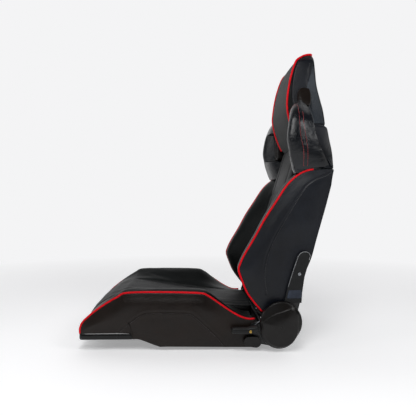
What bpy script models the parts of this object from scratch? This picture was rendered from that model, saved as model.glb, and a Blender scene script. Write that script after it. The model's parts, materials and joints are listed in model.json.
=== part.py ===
"""Reclining sport seat: a padded cushion on a steel base, and a winged backrest on two toothed recliners."""

import math

import bmesh
import bpy
from mathutils import Matrix, Vector

# Seat frame: +X is the sitter's left, -Y is forwards, +Z is up, and the floor is at Z = 0. Sizes in metres.
GAP = 0.0003  # clearance between pieces that touch
HALF_WIDTH = 0.2623  # outer faces of the side panels
PANEL_THICKNESS = 0.004
PIPING_RADIUS = 0.00275
PIPING_X = 0.2572
BOLSTER_INNER_X = 0.1525
PAD_HALF_WIDTH = 0.1515

RECLINE_AXIS = (0.212, 0.074)  # Y and Z of the recliner pivot
LEVER_AXIS = (0.160, 0.074)  # Y and Z of the release rod
PAWL_AXIS = (0.196, 0.020)  # Y and Z of the pawl pins

# The recliner's plates, from the seat outwards: inner and outer X of each layer.
BRACKET_X = (0.2630, 0.2665)
ARM_X = (0.2669, 0.2704)
LEVER_X = (0.2712, 0.2740)
ARM_COVER_X = (0.2708, 0.2748)
COVER_RIM_X = 0.2756
COVER_TOP_X = 0.3050
SECTOR_RADIUS = 0.042
SECTOR_TEETH = 44
TOOTH_DEPTH = 0.0018

RAIL_X = (0.165, 0.195)
RAIL_Y = (-0.160, 0.250)
RAIL_HEIGHT = 0.028
RAIL_WALL = 0.003
TUBE_RADIUS = 0.010
CUSHION_BOTTOM = 0.0605

# Piping lines, which are also the upper edges of the side panels: (Y, Z).
CUSHION_LINE = (
    (-0.3972, 0.056), (-0.3965, 0.072), (-0.387, 0.091), (-0.357, 0.118), (-0.320, 0.144), (-0.285, 0.164),
    (-0.255, 0.177), (-0.150, 0.1785), (-0.038, 0.175), (-0.010, 0.167), (0.027, 0.142), (0.062, 0.118),
    (0.093, 0.101), (0.114, 0.095), (0.132, 0.095),
)
BACK_LINE = (
    (0.155, 0.120), (0.132, 0.147), (0.110, 0.178), (0.0935, 0.2175), (0.085, 0.245), (0.0905, 0.266),
    (0.104, 0.294), (0.135, 0.346), (0.165, 0.401), (0.199, 0.453), (0.227, 0.496), (0.248, 0.520),
    (0.273, 0.539), (0.300, 0.550), (0.340, 0.555), (0.376, 0.556),
)
SKIRT_BOTTOM = (
    (0.138, 0.060), (0.138, 0.0085), (0.049, 0.0095), (-0.134, 0.012), (-0.159, 0.013), (-0.216, 0.036),
    (-0.2497, 0.036), (-0.2497, 0.0535), (-0.3950, 0.0535),
)
BACK_REAR = (
    (0.3695, 0.504), (0.353, 0.440), (0.335, 0.377), (0.3225, 0.333), (0.3085, 0.282), (0.288, 0.230),
    (0.276, 0.170), (0.270, 0.143), (0.262, 0.122),
)

# Head piping on the left side, from its lower end to the middle of the top: (X, Y, Z).
HEAD_LINE = (
    (0.120, 0.286, 0.648), (0.135, 0.275, 0.679), (0.142, 0.265, 0.711), (0.1445, 0.256, 0.755),
    (0.140, 0.256, 0.788), (0.135, 0.263, 0.838), (0.130, 0.274, 0.883), (0.120, 0.289, 0.922),
    (0.112, 0.307, 0.937), (0.106, 0.325, 0.9455), (0.0985, 0.343, 0.9495), (0.080, 0.349, 0.9500),
    (0.040, 0.350, 0.9502), (0.0, 0.3505, 0.9502),
)


def purge():
    for obj in list(bpy.data.objects):
        bpy.data.objects.remove(obj, do_unlink=True)


purge()
SEAT = bpy.data.collections.new("sport_seat")
CUTTERS = bpy.data.collections.new("cutters")
for made in (SEAT, CUTTERS):
    bpy.context.scene.collection.children.link(made)
CUTTERS.hide_render = True


def finish(name, colour, roughness, metallic=0.0):
    material = bpy.data.materials.new(name)
    material.use_nodes = True
    shader = material.node_tree.nodes["Principled BSDF"]
    shader.inputs["Base Color"].default_value = (*colour, 1.0)
    shader.inputs["Roughness"].default_value = roughness
    shader.inputs["Metallic"].default_value = metallic
    return material


SIDE_LEATHER = finish("side_leather", (0.014, 0.014, 0.016), 0.36)
SEAT_LEATHER = finish("seat_leather", (0.030, 0.031, 0.033), 0.50)
GLOSS_LEATHER = finish("gloss_leather", (0.009, 0.009, 0.011), 0.22)
RED_PIPING = finish("red_piping", (0.75, 0.008, 0.012), 0.40)
COVER_PLASTIC = finish("cover_plastic", (0.012, 0.012, 0.013), 0.38)
FRAME_PAINT = finish("frame_paint", (0.02, 0.02, 0.022), 0.45, 0.3)
BARE_STEEL = finish("zinc_steel", (0.55, 0.56, 0.58), 0.35, 1.0)
BRASS = finish("yellow_zinc", (0.70, 0.48, 0.20), 0.35, 1.0)
PLASTIC = finish("slot_plastic", (0.02, 0.02, 0.02), 0.45)


def add_object(name, data, material, collection=None):
    data.materials.append(material)
    obj = bpy.data.objects.new(name, data)
    (collection or SEAT).objects.link(obj)
    return obj


def mesh_object(name, points, faces, material, origin=(0, 0, 0)):
    """A mesh with its normals facing out, whose origin is moved to the given point."""
    offset = Vector(origin)
    mesh = bpy.data.meshes.new(name)
    mesh.from_pydata([Vector(point) - offset for point in points], [], faces)
    shape = bmesh.new()
    shape.from_mesh(mesh)
    bmesh.ops.recalc_face_normals(shape, faces=shape.faces)
    shape.to_mesh(mesh)
    shape.free()
    mesh.shade_smooth()
    mesh.set_sharp_from_angle(angle=math.radians(35))
    obj = add_object(name, mesh, material)
    obj.location = offset
    return obj


def loft(name, rings, material, origin=(0, 0, 0)):
    """A skin over closed rings of equal point count, with a flat cap on each end."""
    count = len(rings[0])
    points = [point for ring in rings for point in ring]
    faces = []
    for level in range(len(rings) - 1):
        for i in range(count):
            j = (i + 1) % count
            low, high = level * count, (level + 1) * count
            faces.append((low + i, low + j, high + j, high + i))
    faces.append(tuple(range(count)))
    faces.append(tuple(range(len(points) - count, len(points))))
    return mesh_object(name, points, faces, material, origin)


def curve_object(name, splines, material, dimensions="3D", cyclic=False):
    curve = bpy.data.curves.new(name, "CURVE")
    curve.dimensions = dimensions
    for points in splines:
        spline = curve.splines.new("POLY")
        spline.points.add(len(points) - 1)
        for place, point in zip(spline.points, points):
            place.co = (*point, *([0.0] * (3 - len(point))), 1.0)
        spline.use_cyclic_u = cyclic
    return add_object(name, curve, material)


def tube(name, points, radius, material, sides=2, origin=(0, 0, 0)):
    """A round bar along a line of points, with filled ends."""
    offset = Vector(origin)
    obj = curve_object(name, [[tuple(Vector(point) - offset) for point in points]], material)
    obj.data.bevel_depth = radius
    obj.data.bevel_resolution = sides
    obj.data.use_fill_caps = True
    obj.location = offset
    return obj


def side_plate(name, outlines, x_range, material, origin=(0, 0)):
    """A flat plate facing sideways: (Y, Z) outlines, the first its edge and the others its holes."""
    moved = [[(y - origin[0], z - origin[1]) for y, z in outline] for outline in outlines]
    obj = curve_object(name, moved, material, "2D", cyclic=True)
    obj.data.fill_mode = "BOTH"
    obj.data.extrude = abs(x_range[1] - x_range[0]) / 2
    turn = Matrix(((0, 0, 1), (1, 0, 0), (0, 1, 0))).to_4x4()
    obj.matrix_world = Matrix.Translation(((x_range[0] + x_range[1]) / 2, *origin)) @ turn
    return obj


def block(name, low, high, material, bevel=0.0, collection=None):
    bpy.ops.mesh.primitive_cube_add(size=1)
    obj = bpy.context.object
    obj.name = obj.data.name = name
    size = [b - a for a, b in zip(low, high)]
    obj.data.transform(Matrix.Diagonal((*size, 1)))
    obj.location = [(a + b) / 2 for a, b in zip(low, high)]
    place(obj, material, collection)
    if bevel:
        edge = obj.modifiers.new("rounded_edges", "BEVEL")
        edge.width = bevel
        edge.segments = 2
    return obj


def cylinder_x(name, centre_yz, x_range, radius, material, sides=20, collection=None):
    bpy.ops.mesh.primitive_cylinder_add(vertices=sides, radius=radius, depth=abs(x_range[1] - x_range[0]))
    obj = bpy.context.object
    obj.name = obj.data.name = name
    obj.data.transform(Matrix.Rotation(math.pi / 2, 4, "Y"))
    obj.location = ((x_range[0] + x_range[1]) / 2, *centre_yz)
    place(obj, material, collection)
    obj.data.shade_smooth()
    obj.data.set_sharp_from_angle(angle=math.radians(35))
    return obj


def place(obj, material, collection):
    obj.data.materials.append(material)
    for held in list(obj.users_collection):
        held.objects.unlink(obj)
    (collection or SEAT).objects.link(obj)


def cut(obj, cutter):
    cutter.hide_render = True
    cutter.display_type = "WIRE"
    boolean = obj.modifiers.new("cut_" + cutter.name, "BOOLEAN")
    boolean.operation = "DIFFERENCE"
    boolean.solver = "EXACT"
    boolean.object = cutter


def smooth_line(points, steps=4):
    """Points on the Catmull-Rom curve through a few points."""
    ends = [tuple(2 * a - b for a, b in zip(points[0], points[1]))]
    tail = [tuple(2 * a - b for a, b in zip(points[-1], points[-2]))]
    chain = [Vector(point) for point in ends + list(points) + tail]
    line = []
    for i in range(1, len(chain) - 2):
        a, b, c, d = chain[i - 1 : i + 3]
        for step in range(steps):
            t = step / steps
            curve = 2 * b + (c - a) * t + (2 * a - 5 * b + 4 * c - d) * t**2 + (3 * b - a - 3 * c + d) * t**3
            line.append(0.5 * curve)
    return line + [chain[-2]]


def inset(line, distance):
    """A (Y, Z) line moved to its right-hand side."""
    moved = []
    for i, point in enumerate(line):
        ahead = line[min(i + 1, len(line) - 1)]
        behind = line[max(i - 1, 0)]
        run = (Vector(ahead) - Vector(behind)).normalized()
        moved.append((point[0] + run[1] * distance, point[1] - run[0] * distance))
    return moved


def at(table, key):
    """The value at a key, on straight lines between (key, value) pairs."""
    for (k0, v0), (k1, v1) in zip(table, table[1:]):
        if key <= k1:
            t = max(0.0, (key - k0) / (k1 - k0))
            return v0 + (v1 - v0) * t
    return table[-1][1]


def circle(centre, radius, count=20):
    return [
        (
            centre[0] + radius * math.cos(2 * math.pi * i / count),
            centre[1] + radius * math.sin(2 * math.pi * i / count),
        )
        for i in range(count)
    ]


def both_sides():
    return (("left", 1), ("right", -1))


# ---- Base: rails, tubes and pan under the cushion ----

for side, sign in both_sides():
    rail = block(
        f"mounting_rail_{side}",
        (min(sign * RAIL_X[0], sign * RAIL_X[1]), RAIL_Y[0], 0.0),
        (max(sign * RAIL_X[0], sign * RAIL_X[1]), RAIL_Y[1], RAIL_HEIGHT),
        FRAME_PAINT,
    )
    channel = block(
        f"rail_channel_{side}",
        (min(sign * 0.150, sign * (RAIL_X[1] - RAIL_WALL)), RAIL_Y[0] - 0.01, RAIL_WALL),
        (max(sign * 0.150, sign * (RAIL_X[1] - RAIL_WALL)), RAIL_Y[1] + 0.01, RAIL_HEIGHT - RAIL_WALL),
        FRAME_PAINT,
        collection=CUTTERS,
    )
    cut(rail, channel)

FRONT_TUBE_Y = -0.130
REAR_TUBE_Y = 0.152
TUBE_Z = RAIL_HEIGHT + TUBE_RADIUS + 0.0005
tube(
    "base_tube_front", [
        (-0.235, FRONT_TUBE_Y, TUBE_Z), (0.235, FRONT_TUBE_Y, TUBE_Z),
    ], TUBE_RADIUS, FRAME_PAINT, sides=3
)
REAR_TUBE_END = BRACKET_X[0] - GAP
tube(
    "base_tube_rear",
    [(-REAR_TUBE_END, REAR_TUBE_Y, TUBE_Z), (REAR_TUBE_END, REAR_TUBE_Y, TUBE_Z)],
    TUBE_RADIUS - 0.001,
    FRAME_PAINT,
    sides=3,
)
block("seat_pan", (-0.235, -0.318, 0.0580), (0.235, 0.120, 0.0600), FRAME_PAINT, bevel=0.0006)

# ---- Cushion ----

PAD_TOP = (
    (-0.394, 0.075), (-0.385, 0.098), (-0.360, 0.122), (-0.320, 0.143), (-0.270, 0.152), (-0.200, 0.146),
    (-0.100, 0.133), (-0.030, 0.125), (0.060, 0.117), (0.138, 0.112),
)
PIPING_HEIGHT = tuple(CUSHION_LINE[1:])


def cushion_pad():
    rings = []
    for y, _ in PAD_TOP:
        top = at(PAD_TOP, y)
        low = CUSHION_BOTTOM if y > -0.352 else 0.0545
        w = PAD_HALF_WIDTH
        half = [
            (w, low), (w, top - 0.012), (w - 0.006, top - 0.003), (0.100, top + 0.003), (0.040, top + 0.005),
        ]
        ring = [(x, y, z) for x, z in half] + [(-x, y, z) for x, z in reversed(half)]
        rings.append(ring)
    return loft("cushion_pad", rings, SEAT_LEATHER)


cushion_pad()


def thigh_bolster(side, sign):
    rings = []
    outer = HALF_WIDTH - PANEL_THICKNESS - GAP
    for y in (
        -0.3925, -0.384, -0.357, -0.320, -0.285, -0.255, -0.150, -0.038, -0.010, 0.027, 0.062, 0.078, 0.093,
        0.104, 0.128,
    ):
        edge = at(PIPING_HEIGHT, y) - (0.0008 if y > 0.07 else 0.0)
        inner = min(at(PAD_TOP, y) - 0.002, edge)
        low = CUSHION_BOTTOM if y > -0.352 else 0.0545
        crest = edge + 0.005
        profile = [
            (outer, low), (outer, edge - 0.0065), (0.2530, edge + 0.0003), (0.240, crest), (0.222, crest),
            (0.200, edge - 0.2 * (edge - inner)), (0.172, inner + 0.25 * (edge - inner)),
            (BOLSTER_INNER_X, inner),
            (BOLSTER_INNER_X, low),
        ]
        rings.append([(sign * x, y, z) for x, z in profile])
    return loft(f"thigh_bolster_{side}", rings, SIDE_LEATHER)


def cushion_side_panel(side, sign):
    top = inset(smooth_line(CUSHION_LINE, 3)[3:], PIPING_RADIUS + GAP)
    outline = [tuple(point) for point in top] + list(SKIRT_BOTTOM)
    x_range = (sign * (HALF_WIDTH - PANEL_THICKNESS), sign * HALF_WIDTH)
    return side_plate(f"cushion_side_panel_{side}", [outline], x_range, SIDE_LEATHER)


for side, sign in both_sides():
    thigh_bolster(side, sign)
    cushion_side_panel(side, sign)
    route = [(sign * PIPING_X, y, z) for y, z in smooth_line(CUSHION_LINE, 3)]
    tube(f"cushion_piping_{side}", route, PIPING_RADIUS, RED_PIPING)
    block(
        f"side_hem_{side}",
        (min(sign * (HALF_WIDTH - PANEL_THICKNESS), sign * HALF_WIDTH), -0.3954, 0.0360),
        (max(sign * (HALF_WIDTH - PANEL_THICKNESS), sign * HALF_WIDTH), -0.2500, 0.0530),
        GLOSS_LEATHER,
    )
block("front_hem", (-HALF_WIDTH, -0.4000, 0.0360), (HALF_WIDTH, -0.3957, 0.0530), GLOSS_LEATHER)

# ---- Recliners: brackets fixed to the base, with pivot bolts, covers and the clock spring ----


def hull_outline(circles, count=48):
    """The (Y, Z) outline round two or more circles, as a belt would run over them."""
    points = []
    for centre, radius in circles:
        points += circle(centre, radius, count)
    points = sorted(set(points))

    def chain(ordered):
        built = []
        for point in ordered:
            while len(built) > 1:
                ax, ay = built[-1][0] - built[-2][0], built[-1][1] - built[-2][1]
                bx, by = point[0] - built[-2][0], point[1] - built[-2][1]
                if ax * by - ay * bx > 0:
                    break
                built.pop()
            built.append(point)
        return built

    return chain(points)[:-1] + chain(reversed(points))[:-1]


# The leaf-shaped cover: its upper and lower rounds and its tip, which points at the lever.
COVER_OUTLINE = hull_outline(
    [((0.2119, 0.0898), 0.0622), ((0.2050, 0.0665), 0.0555), ((0.154, 0.091), 0.007)], 40,
)
COVER_MIDDLE = (0.2085, 0.0785)
BRACKET_FOOT = [((0.150, 0.036), 0.016), ((0.198, 0.027), 0.016)]
BRACKET_NOSE = ((0.127, 0.078), 0.006)
BRACKET_OUTLINE = hull_outline([(RECLINE_AXIS, 0.030), (LEVER_AXIS, 0.016), *BRACKET_FOOT, BRACKET_NOSE], 24)
BOLT_RADIUS = 0.006
ROD_RADIUS = 0.004
PIN_RADIUS = 0.003


def recliner_cover(side, sign):
    """A leaf-shaped dome, open towards the seat, with a flat rim over the lever's plate."""
    levels = (
        (COVER_RIM_X, 1.0), (0.2880, 1.0), (0.2940, 0.965), (0.2985, 0.88), (0.3020, 0.72), (0.3040, 0.45),
        (COVER_TOP_X, 0.15),
    )
    cy, cz = COVER_MIDDLE
    rings = []
    for x, scale in levels:
        rings.append([(sign * x, cy + (y - cy) * scale, cz + (z - cz) * scale) for y, z in COVER_OUTLINE])
    count = len(rings[0])
    points = [point for ring in rings for point in ring]
    faces = []
    for level in range(len(rings) - 1):
        for i in range(count):
            j = (i + 1) % count
            quad = (level * count + i, level * count + j, (level + 1) * count + j, (level + 1) * count + i)
            faces.append(quad if sign > 0 else quad[::-1])
    top = tuple(range(len(points) - count, len(points)))
    faces.append(top if sign > 0 else top[::-1])
    mesh = bpy.data.meshes.new(f"recliner_cover_{side}")
    mesh.from_pydata(points, [], faces)
    mesh.shade_smooth()
    mesh.set_sharp_from_angle(angle=math.radians(40))
    cover = add_object(f"recliner_cover_{side}", mesh, COVER_PLASTIC)
    wall = cover.modifiers.new("wall", "SOLIDIFY")
    wall.thickness = 0.0022
    wall.offset = -1
    return cover


for side, sign in both_sides():
    holes = [
        circle(RECLINE_AXIS, BOLT_RADIUS + GAP),
        circle(LEVER_AXIS, ROD_RADIUS + GAP, 12),
        circle(PAWL_AXIS, PIN_RADIUS + GAP, 12),
    ]
    bracket_x = (sign * BRACKET_X[0], sign * BRACKET_X[1])
    side_plate(f"recliner_bracket_{side}", [BRACKET_OUTLINE, *holes], bracket_x, BARE_STEEL)
    cylinder_x(f"pivot_bolt_{side}", RECLINE_AXIS, (sign * 0.2600, sign * 0.3000), BOLT_RADIUS, BARE_STEEL)
    cylinder_x(f"pawl_pin_{side}", PAWL_AXIS, (sign * 0.2610, sign * 0.2712), PIN_RADIUS, BARE_STEEL, 12)
    recliner_cover(side, sign)
    lobe = hull_outline([((0.114, 0.030), 0.015), ((0.1355, 0.0285), 0.0165)], 28)
    side_plate(f"bracket_cap_{side}", [lobe], (sign * 0.2672, sign * 0.2790), COVER_PLASTIC)


def clock_spring():
    """A flat coiled strip round the pivot bolt that lifts the backrest when the lock is open."""
    turns, inner, pitch, steps = 3.25, 0.0085, 0.0052, 20
    count = int(turns * steps)
    line = []
    for i in range(count + 1):
        angle = 2 * math.pi * i / steps
        radius = inner + pitch * i / steps
        line.append((RECLINE_AXIS[0] + radius * math.cos(angle), RECLINE_AXIS[1] + radius * math.sin(angle)))
    inside = inset(line, 0.0018)
    return side_plate("clock_spring", [line + inside[::-1]], (0.2790, 0.2870), BARE_STEEL)


clock_spring()

# ---- Release lever with its rod, and the two lock pawls ----

ROD_ORIGIN = (0, *LEVER_AXIS)
tube(
    "release_rod", [(-0.2745, *LEVER_AXIS), (0.2708, *LEVER_AXIS)], ROD_RADIUS, BARE_STEEL,
    origin=ROD_ORIGIN,
)
LEVER_SCREW = (0.117, 0.0655)
lever_outline = hull_outline([(LEVER_AXIS, 0.010), ((0.112, 0.067), 0.0075), ((0.135, 0.070), 0.0085)], 20)
side_plate("lever_arm", [lever_outline, circle(LEVER_SCREW, 0.0023, 10)], LEVER_X, BARE_STEEL, LEVER_AXIS)


def lever_grip():
    """A moulded bar that widens to a hub over the lever's plate."""
    stations = (
        (0.0600, 0.0030, 0.0682), (0.0612, 0.0065, 0.0680), (0.0650, 0.0088, 0.0678),
        (0.0800, 0.0095, 0.0674),
        (0.1000, 0.0095, 0.0670), (0.1120, 0.0095, 0.0672), (0.1200, 0.0100, 0.0682),
        (0.1330, 0.0100, 0.0700),
        (0.1400, 0.0090, 0.0712), (0.1430, 0.0060, 0.0716),
    )
    rings = []
    for y, half, z in stations:
        ring = []
        for i in range(12):
            angle = 2 * math.pi * i / 12
            ring.append((0.2862 + min(0.0115, half * 1.25) * math.cos(angle), y, z + half * math.sin(angle)))
        rings.append(ring)
    return loft("lever_grip", rings, COVER_PLASTIC, origin=ROD_ORIGIN)


grip = lever_grip()
screw_bore = cylinder_x("screw_bore", LEVER_SCREW, (0.270, 0.300), 0.0024, PLASTIC, 10, CUTTERS)
cut(grip, screw_bore)
cylinder_x("lever_screw", LEVER_SCREW, (0.2700, 0.2990), 0.0020, BRASS, 10)


def toothed_arc(start, end, count, radius, depth):
    """A saw-edged arc about the recliner pivot."""
    line = []
    for i in range(2 * count + 1):
        angle = math.radians(start + (end - start) * i / (2 * count))
        reach = radius if i % 2 else radius - depth
        line.append((RECLINE_AXIS[0] + reach * math.cos(angle), RECLINE_AXIS[1] + reach * math.sin(angle)))
    return line


PAWL_START, PAWL_END, PAWL_TEETH = 205, 236, 5
for side, sign in both_sides():
    nose = toothed_arc(PAWL_START, PAWL_END, PAWL_TEETH, SECTOR_RADIUS + 0.0022, 0.0015)
    foot = [
        (PAWL_AXIS[0] + 0.0075 * math.cos(math.radians(a)), PAWL_AXIS[1] + 0.0075 * math.sin(math.radians(a)))
        for a in range(20, -171, -38)
    ]
    body = [(0.1945, 0.0335), *foot, (0.1745, 0.0360), (0.1665, 0.0480)]
    outline = nose + body
    hole = circle(PAWL_AXIS, PIN_RADIUS + GAP, 12)
    side_plate(
        f"lock_pawl_{side}", [outline, hole], (sign * ARM_X[0], sign * ARM_X[1]), BARE_STEEL, PAWL_AXIS,
    )

# ---- Backrest frame and recliner arms ----

BACK_ORIGIN = (0, *RECLINE_AXIS)
ARM_SCREW = (0.2685, 0.234)


def sector_outline():
    """The arm's lower end: a toothed half disc that runs into the upright plate."""
    teeth = toothed_arc(165, 345, SECTOR_TEETH, SECTOR_RADIUS, TOOTH_DEPTH)
    upright = [(0.262, 0.110), (0.272, 0.150), (0.279, 0.225), (0.297, 0.290), (0.284, 0.298), (0.268, 0.286)]
    back = [(0.254, 0.2435), (0.239, 0.1955), (0.226, 0.150), (0.205, 0.122), (0.180, 0.102)]
    return teeth + upright + back


def arm_cover_outline():
    top = [(0.303, 0.289), (0.299, 0.298), (0.290, 0.3025), (0.280, 0.3025), (0.270, 0.297), (0.2635, 0.288)]
    return [
        (0.222, 0.146), (0.275, 0.146), (0.277, 0.177), (0.284, 0.225), (0.300, 0.280), *top,
        (0.248, 0.2435), (0.233, 0.1955),
    ]


for side, sign in both_sides():
    arm_holes = [circle(RECLINE_AXIS, BOLT_RADIUS + GAP), circle(ARM_SCREW, 0.0035, 12)]
    side_plate(
        f"back_arm_{side}", [sector_outline(), *arm_holes], (sign * ARM_X[0], sign * ARM_X[1]), BARE_STEEL,
        RECLINE_AXIS,
    )
    cover_x = (sign * ARM_COVER_X[0], sign * ARM_COVER_X[1])
    side_plate(
        f"arm_cover_{side}", [arm_cover_outline(), circle(ARM_SCREW, 0.0035, 12)], cover_x, COVER_PLASTIC,
        RECLINE_AXIS,
    )
    cylinder_x(f"arm_screw_{side}", ARM_SCREW, (sign * 0.2180, sign * 0.2765), 0.0030, BARE_STEEL, 12)

FRAME_X = 0.207
frame_side = [
    (FRAME_X, 0.236, 0.118), (FRAME_X, 0.250, 0.165), (FRAME_X, 0.266, 0.232), (FRAME_X, 0.284, 0.300),
    (FRAME_X, 0.316, 0.420),
]
frame_top = [
    (FRAME_X - 0.004, 0.330, 0.476), (FRAME_X - 0.020, 0.334, 0.494), (FRAME_X - 0.045, 0.336, 0.500),
]
frame_half = frame_side + frame_top
frame_line = frame_half + [(-x, y, z) for x, y, z in reversed(frame_half)]
tube("back_frame", frame_line, TUBE_RADIUS, FRAME_PAINT, sides=3, origin=BACK_ORIGIN)
tube(
    "back_cross_tube", [(-0.1960, 0.2500, 0.1650), (0.1960, 0.2500, 0.1650)], 0.007, FRAME_PAINT,
    origin=BACK_ORIGIN,
)
for number, (y, z) in enumerate(((0.2750, 0.270), (0.3020, 0.370)), 1):
    wave = [(-0.1962 + 0.3924 * i / 24, y, z + 0.012 * math.sin(math.pi * i / 2)) for i in range(25)]
    tube(f"lumbar_wire_{number}", wave, 0.0018, BARE_STEEL, sides=1, origin=BACK_ORIGIN)

# ---- Back pads, side panels and piping ----

PAD_FRONT = (
    (0.098, 0.176), (0.120, 0.172), (0.180, 0.174), (0.250, 0.186), (0.350, 0.212), (0.450, 0.242),
    (0.540, 0.270), (0.632, 0.297),
)
PIPING_FRONT = tuple((z, y) for y, z in BACK_LINE[:13])
BACK_PIPING_END_Y = 0.306  # the piping stops under the shoulder wing


def back_pad():
    rings = []
    for z in (0.098, 0.108, 0.180, 0.250, 0.350, 0.450, 0.540, 0.6250, 0.6320):
        front = at(PAD_FRONT, z) + (0.008 if z in (0.098, 0.6320) else 0.0)
        w = PAD_HALF_WIDTH
        half = [
            (w, front + (0.038 if z < 0.55 else 0.026)), (w, front + 0.010), (w - 0.008, front),
            (0.090, front - 0.002), (0.040, front - 0.003),
        ]
        rings.append([(x, y, z) for x, y in half] + [(-x, y, z) for x, y in reversed(half)])
    return loft("back_pad", rings, SEAT_LEATHER, origin=BACK_ORIGIN)


def back_bolster(side, sign):
    rings = []
    for z in (
        0.120, 0.147, 0.178, 0.2175, 0.245, 0.266, 0.294, 0.346, 0.401, 0.453, 0.496, 0.5100, 0.5200, 0.5575,
    ):
        inner = at(PAD_FRONT, z) + 0.004
        outer = HALF_WIDTH - PANEL_THICKNESS - (GAP if z < 0.5 else 0.0048)
        edge = min(at(PIPING_FRONT, z), inner - 0.012, 0.2520)
        crest = edge - 0.005
        wall = max(edge, at(PIPING_FRONT, z)) + 0.0065
        rear = max(inner + 0.036, wall + 0.010)
        profile = [
            (outer, rear), (outer, wall), (0.2522, max(edge, at(PIPING_FRONT, z)) - 0.0003), (0.240, crest),
            (0.222, crest),
            (0.200, edge + 0.2 * (inner - edge)), (0.172, edge + 0.75 * (inner - edge)),
            (BOLSTER_INNER_X, inner),
            (BOLSTER_INNER_X, inner + 0.034), (0.200, inner + 0.034),
        ]
        rings.append([(sign * x, y, z) for x, y in profile])
    return loft(f"back_bolster_{side}", rings, SIDE_LEATHER, origin=BACK_ORIGIN)


back_pad()
for side, sign in both_sides():
    back_bolster(side, sign)
    edge_line = inset(smooth_line(BACK_LINE, 3), PIPING_RADIUS + GAP)
    panel_outline = [tuple(point) for point in edge_line] + list(BACK_REAR)
    side_plate(
        f"back_side_panel_{side}",
        [panel_outline, circle(ARM_SCREW, 0.0035, 12)],
        (sign * (HALF_WIDTH - PANEL_THICKNESS), sign * HALF_WIDTH),
        SIDE_LEATHER,
        RECLINE_AXIS,
    )
    route = [(sign * PIPING_X, y, z) for y, z in smooth_line(BACK_LINE, 3) if y < BACK_PIPING_END_Y]
    tube(f"back_piping_{side}", route, PIPING_RADIUS, RED_PIPING, origin=BACK_ORIGIN)

REAR_PANEL = (
    (0.143, 0.270), (0.170, 0.277), (0.230, 0.289), (0.282, 0.3095), (0.333, 0.3235), (0.377, 0.336),
    (0.440, 0.354), (0.504, 0.3705), (0.551, 0.3795),
)


def rear_panel():
    """The padded board that closes the backrest behind the frame."""
    rings = []
    for z, rear in REAR_PANEL:
        w = HALF_WIDTH - PANEL_THICKNESS - GAP
        half = [(w, rear - 0.012), (w, rear - 0.004), (w - 0.006, rear), (0.120, rear + 0.004)]
        inside = [(0.120, rear - 0.008), (w, rear - 0.012)]
        front = [(x, y, z) for x, y in half] + [(-x, y, z) for x, y in reversed(half)]
        rings.append(front + [(-inside[0][0], inside[0][1], z), (inside[0][0], inside[0][1], z)])
    return loft("back_rear_panel", rings, SIDE_LEATHER, origin=BACK_ORIGIN)


rear_panel()

# ---- Shoulder wings, head and harness slots ----

# Each wing level: Z, inner X, outer X, front Y, rear Y.
WING_LEVELS = (
    (0.5600, 0.1535, 0.2600, 0.2540, 0.3700), (0.5900, 0.1535, 0.2660, 0.2440, 0.3560),
    (0.6120, 0.1535, 0.2690, 0.2390, 0.3450),
    (0.6150, 0.2140, 0.2695, 0.2380, 0.3430), (0.6500, 0.2140, 0.2700, 0.2305, 0.3290),
    (0.6950, 0.2140, 0.2640, 0.2390, 0.3195),
    (0.7200, 0.2140, 0.2520, 0.2450, 0.3155), (0.7230, 0.1535, 0.2500, 0.2460, 0.3150),
    (0.7450, 0.1515, 0.2320, 0.2530, 0.3100),
    (0.7620, 0.1480, 0.2130, 0.2640, 0.3060), (0.7780, 0.1480, 0.1950, 0.2800, 0.2980),
)


def shoulder_wing(side, sign):
    """A blade that curves forwards round the shoulder; its notch is the outer half of the harness slot."""
    rings = []
    for z, inner, outer, front, rear in WING_LEVELS:
        span = outer - inner
        depth = rear - front
        hollow = at(((0.56, 0.30), (0.64, 0.55), (0.72, 0.40), (0.778, 0.2)), z)
        profile = [
            (outer - 0.012, rear), (outer - 0.001, rear - 0.25 * depth), (outer, front + 0.30 * depth),
            (outer - 0.006, front + 0.006), (outer - min(0.022, 0.4 * span), front),
            (inner + 0.35 * span, front + 0.30 * hollow * depth), (inner, front + hollow * depth),
            (inner, front + max(hollow, 0.45) * depth + 0.012), (inner + 0.45 * span, rear - 0.1 * depth),
        ]
        rings.append([(sign * x, y, z) for x, y in profile])
    return loft(f"shoulder_wing_{side}", rings, GLOSS_LEATHER, origin=BACK_ORIGIN)


# Head shell levels: Z, half width, front Y, rear Y, share of its depth that is hollow.
SHELL_LEVELS = (
    (0.5600, 0.1500, 0.3500, 0.4000, 0.5), (0.6100, 0.1470, 0.3400, 0.3940, 0.6),
    (0.6400, 0.1440, 0.3320, 0.3880, 0.6), (0.6800, 0.1400, 0.3060, 0.3830, 0.7),
    (0.7110, 0.1400, 0.2960, 0.3820, 0.7), (0.7550, 0.1430, 0.2880, 0.3740, 0.7),
    (0.7880, 0.1390, 0.2880, 0.3660, 0.7), (0.8380, 0.1340, 0.2940, 0.3550, 0.7),
    (0.8830, 0.1290, 0.3040, 0.3520, 0.5), (0.9220, 0.1180, 0.3180, 0.3510, 0.3),
    (0.9400, 0.1000, 0.3280, 0.3510, 0.1), (0.9460, 0.0900, 0.3350, 0.3500, 0.05),
)


def head_shell():
    """The leather-covered shell behind the head pad, hollow at the front for the head hoop."""
    rings = []
    for z, w, front, rear, hollow in SHELL_LEVELS:
        depth = (rear - front) * hollow
        side = [(w - 0.014, front), (w, front), (w, rear - 0.3 * (rear - front))]
        left = [(w - 0.014, front + depth), *side, (w - 0.006, rear - 0.002), (0.6 * w, rear)]
        rings.append([(x, y, z) for x, y in left] + [(-x, y, z) for x, y in reversed(left)])
    return loft("head_shell", rings, GLOSS_LEATHER, origin=BACK_ORIGIN)


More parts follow.
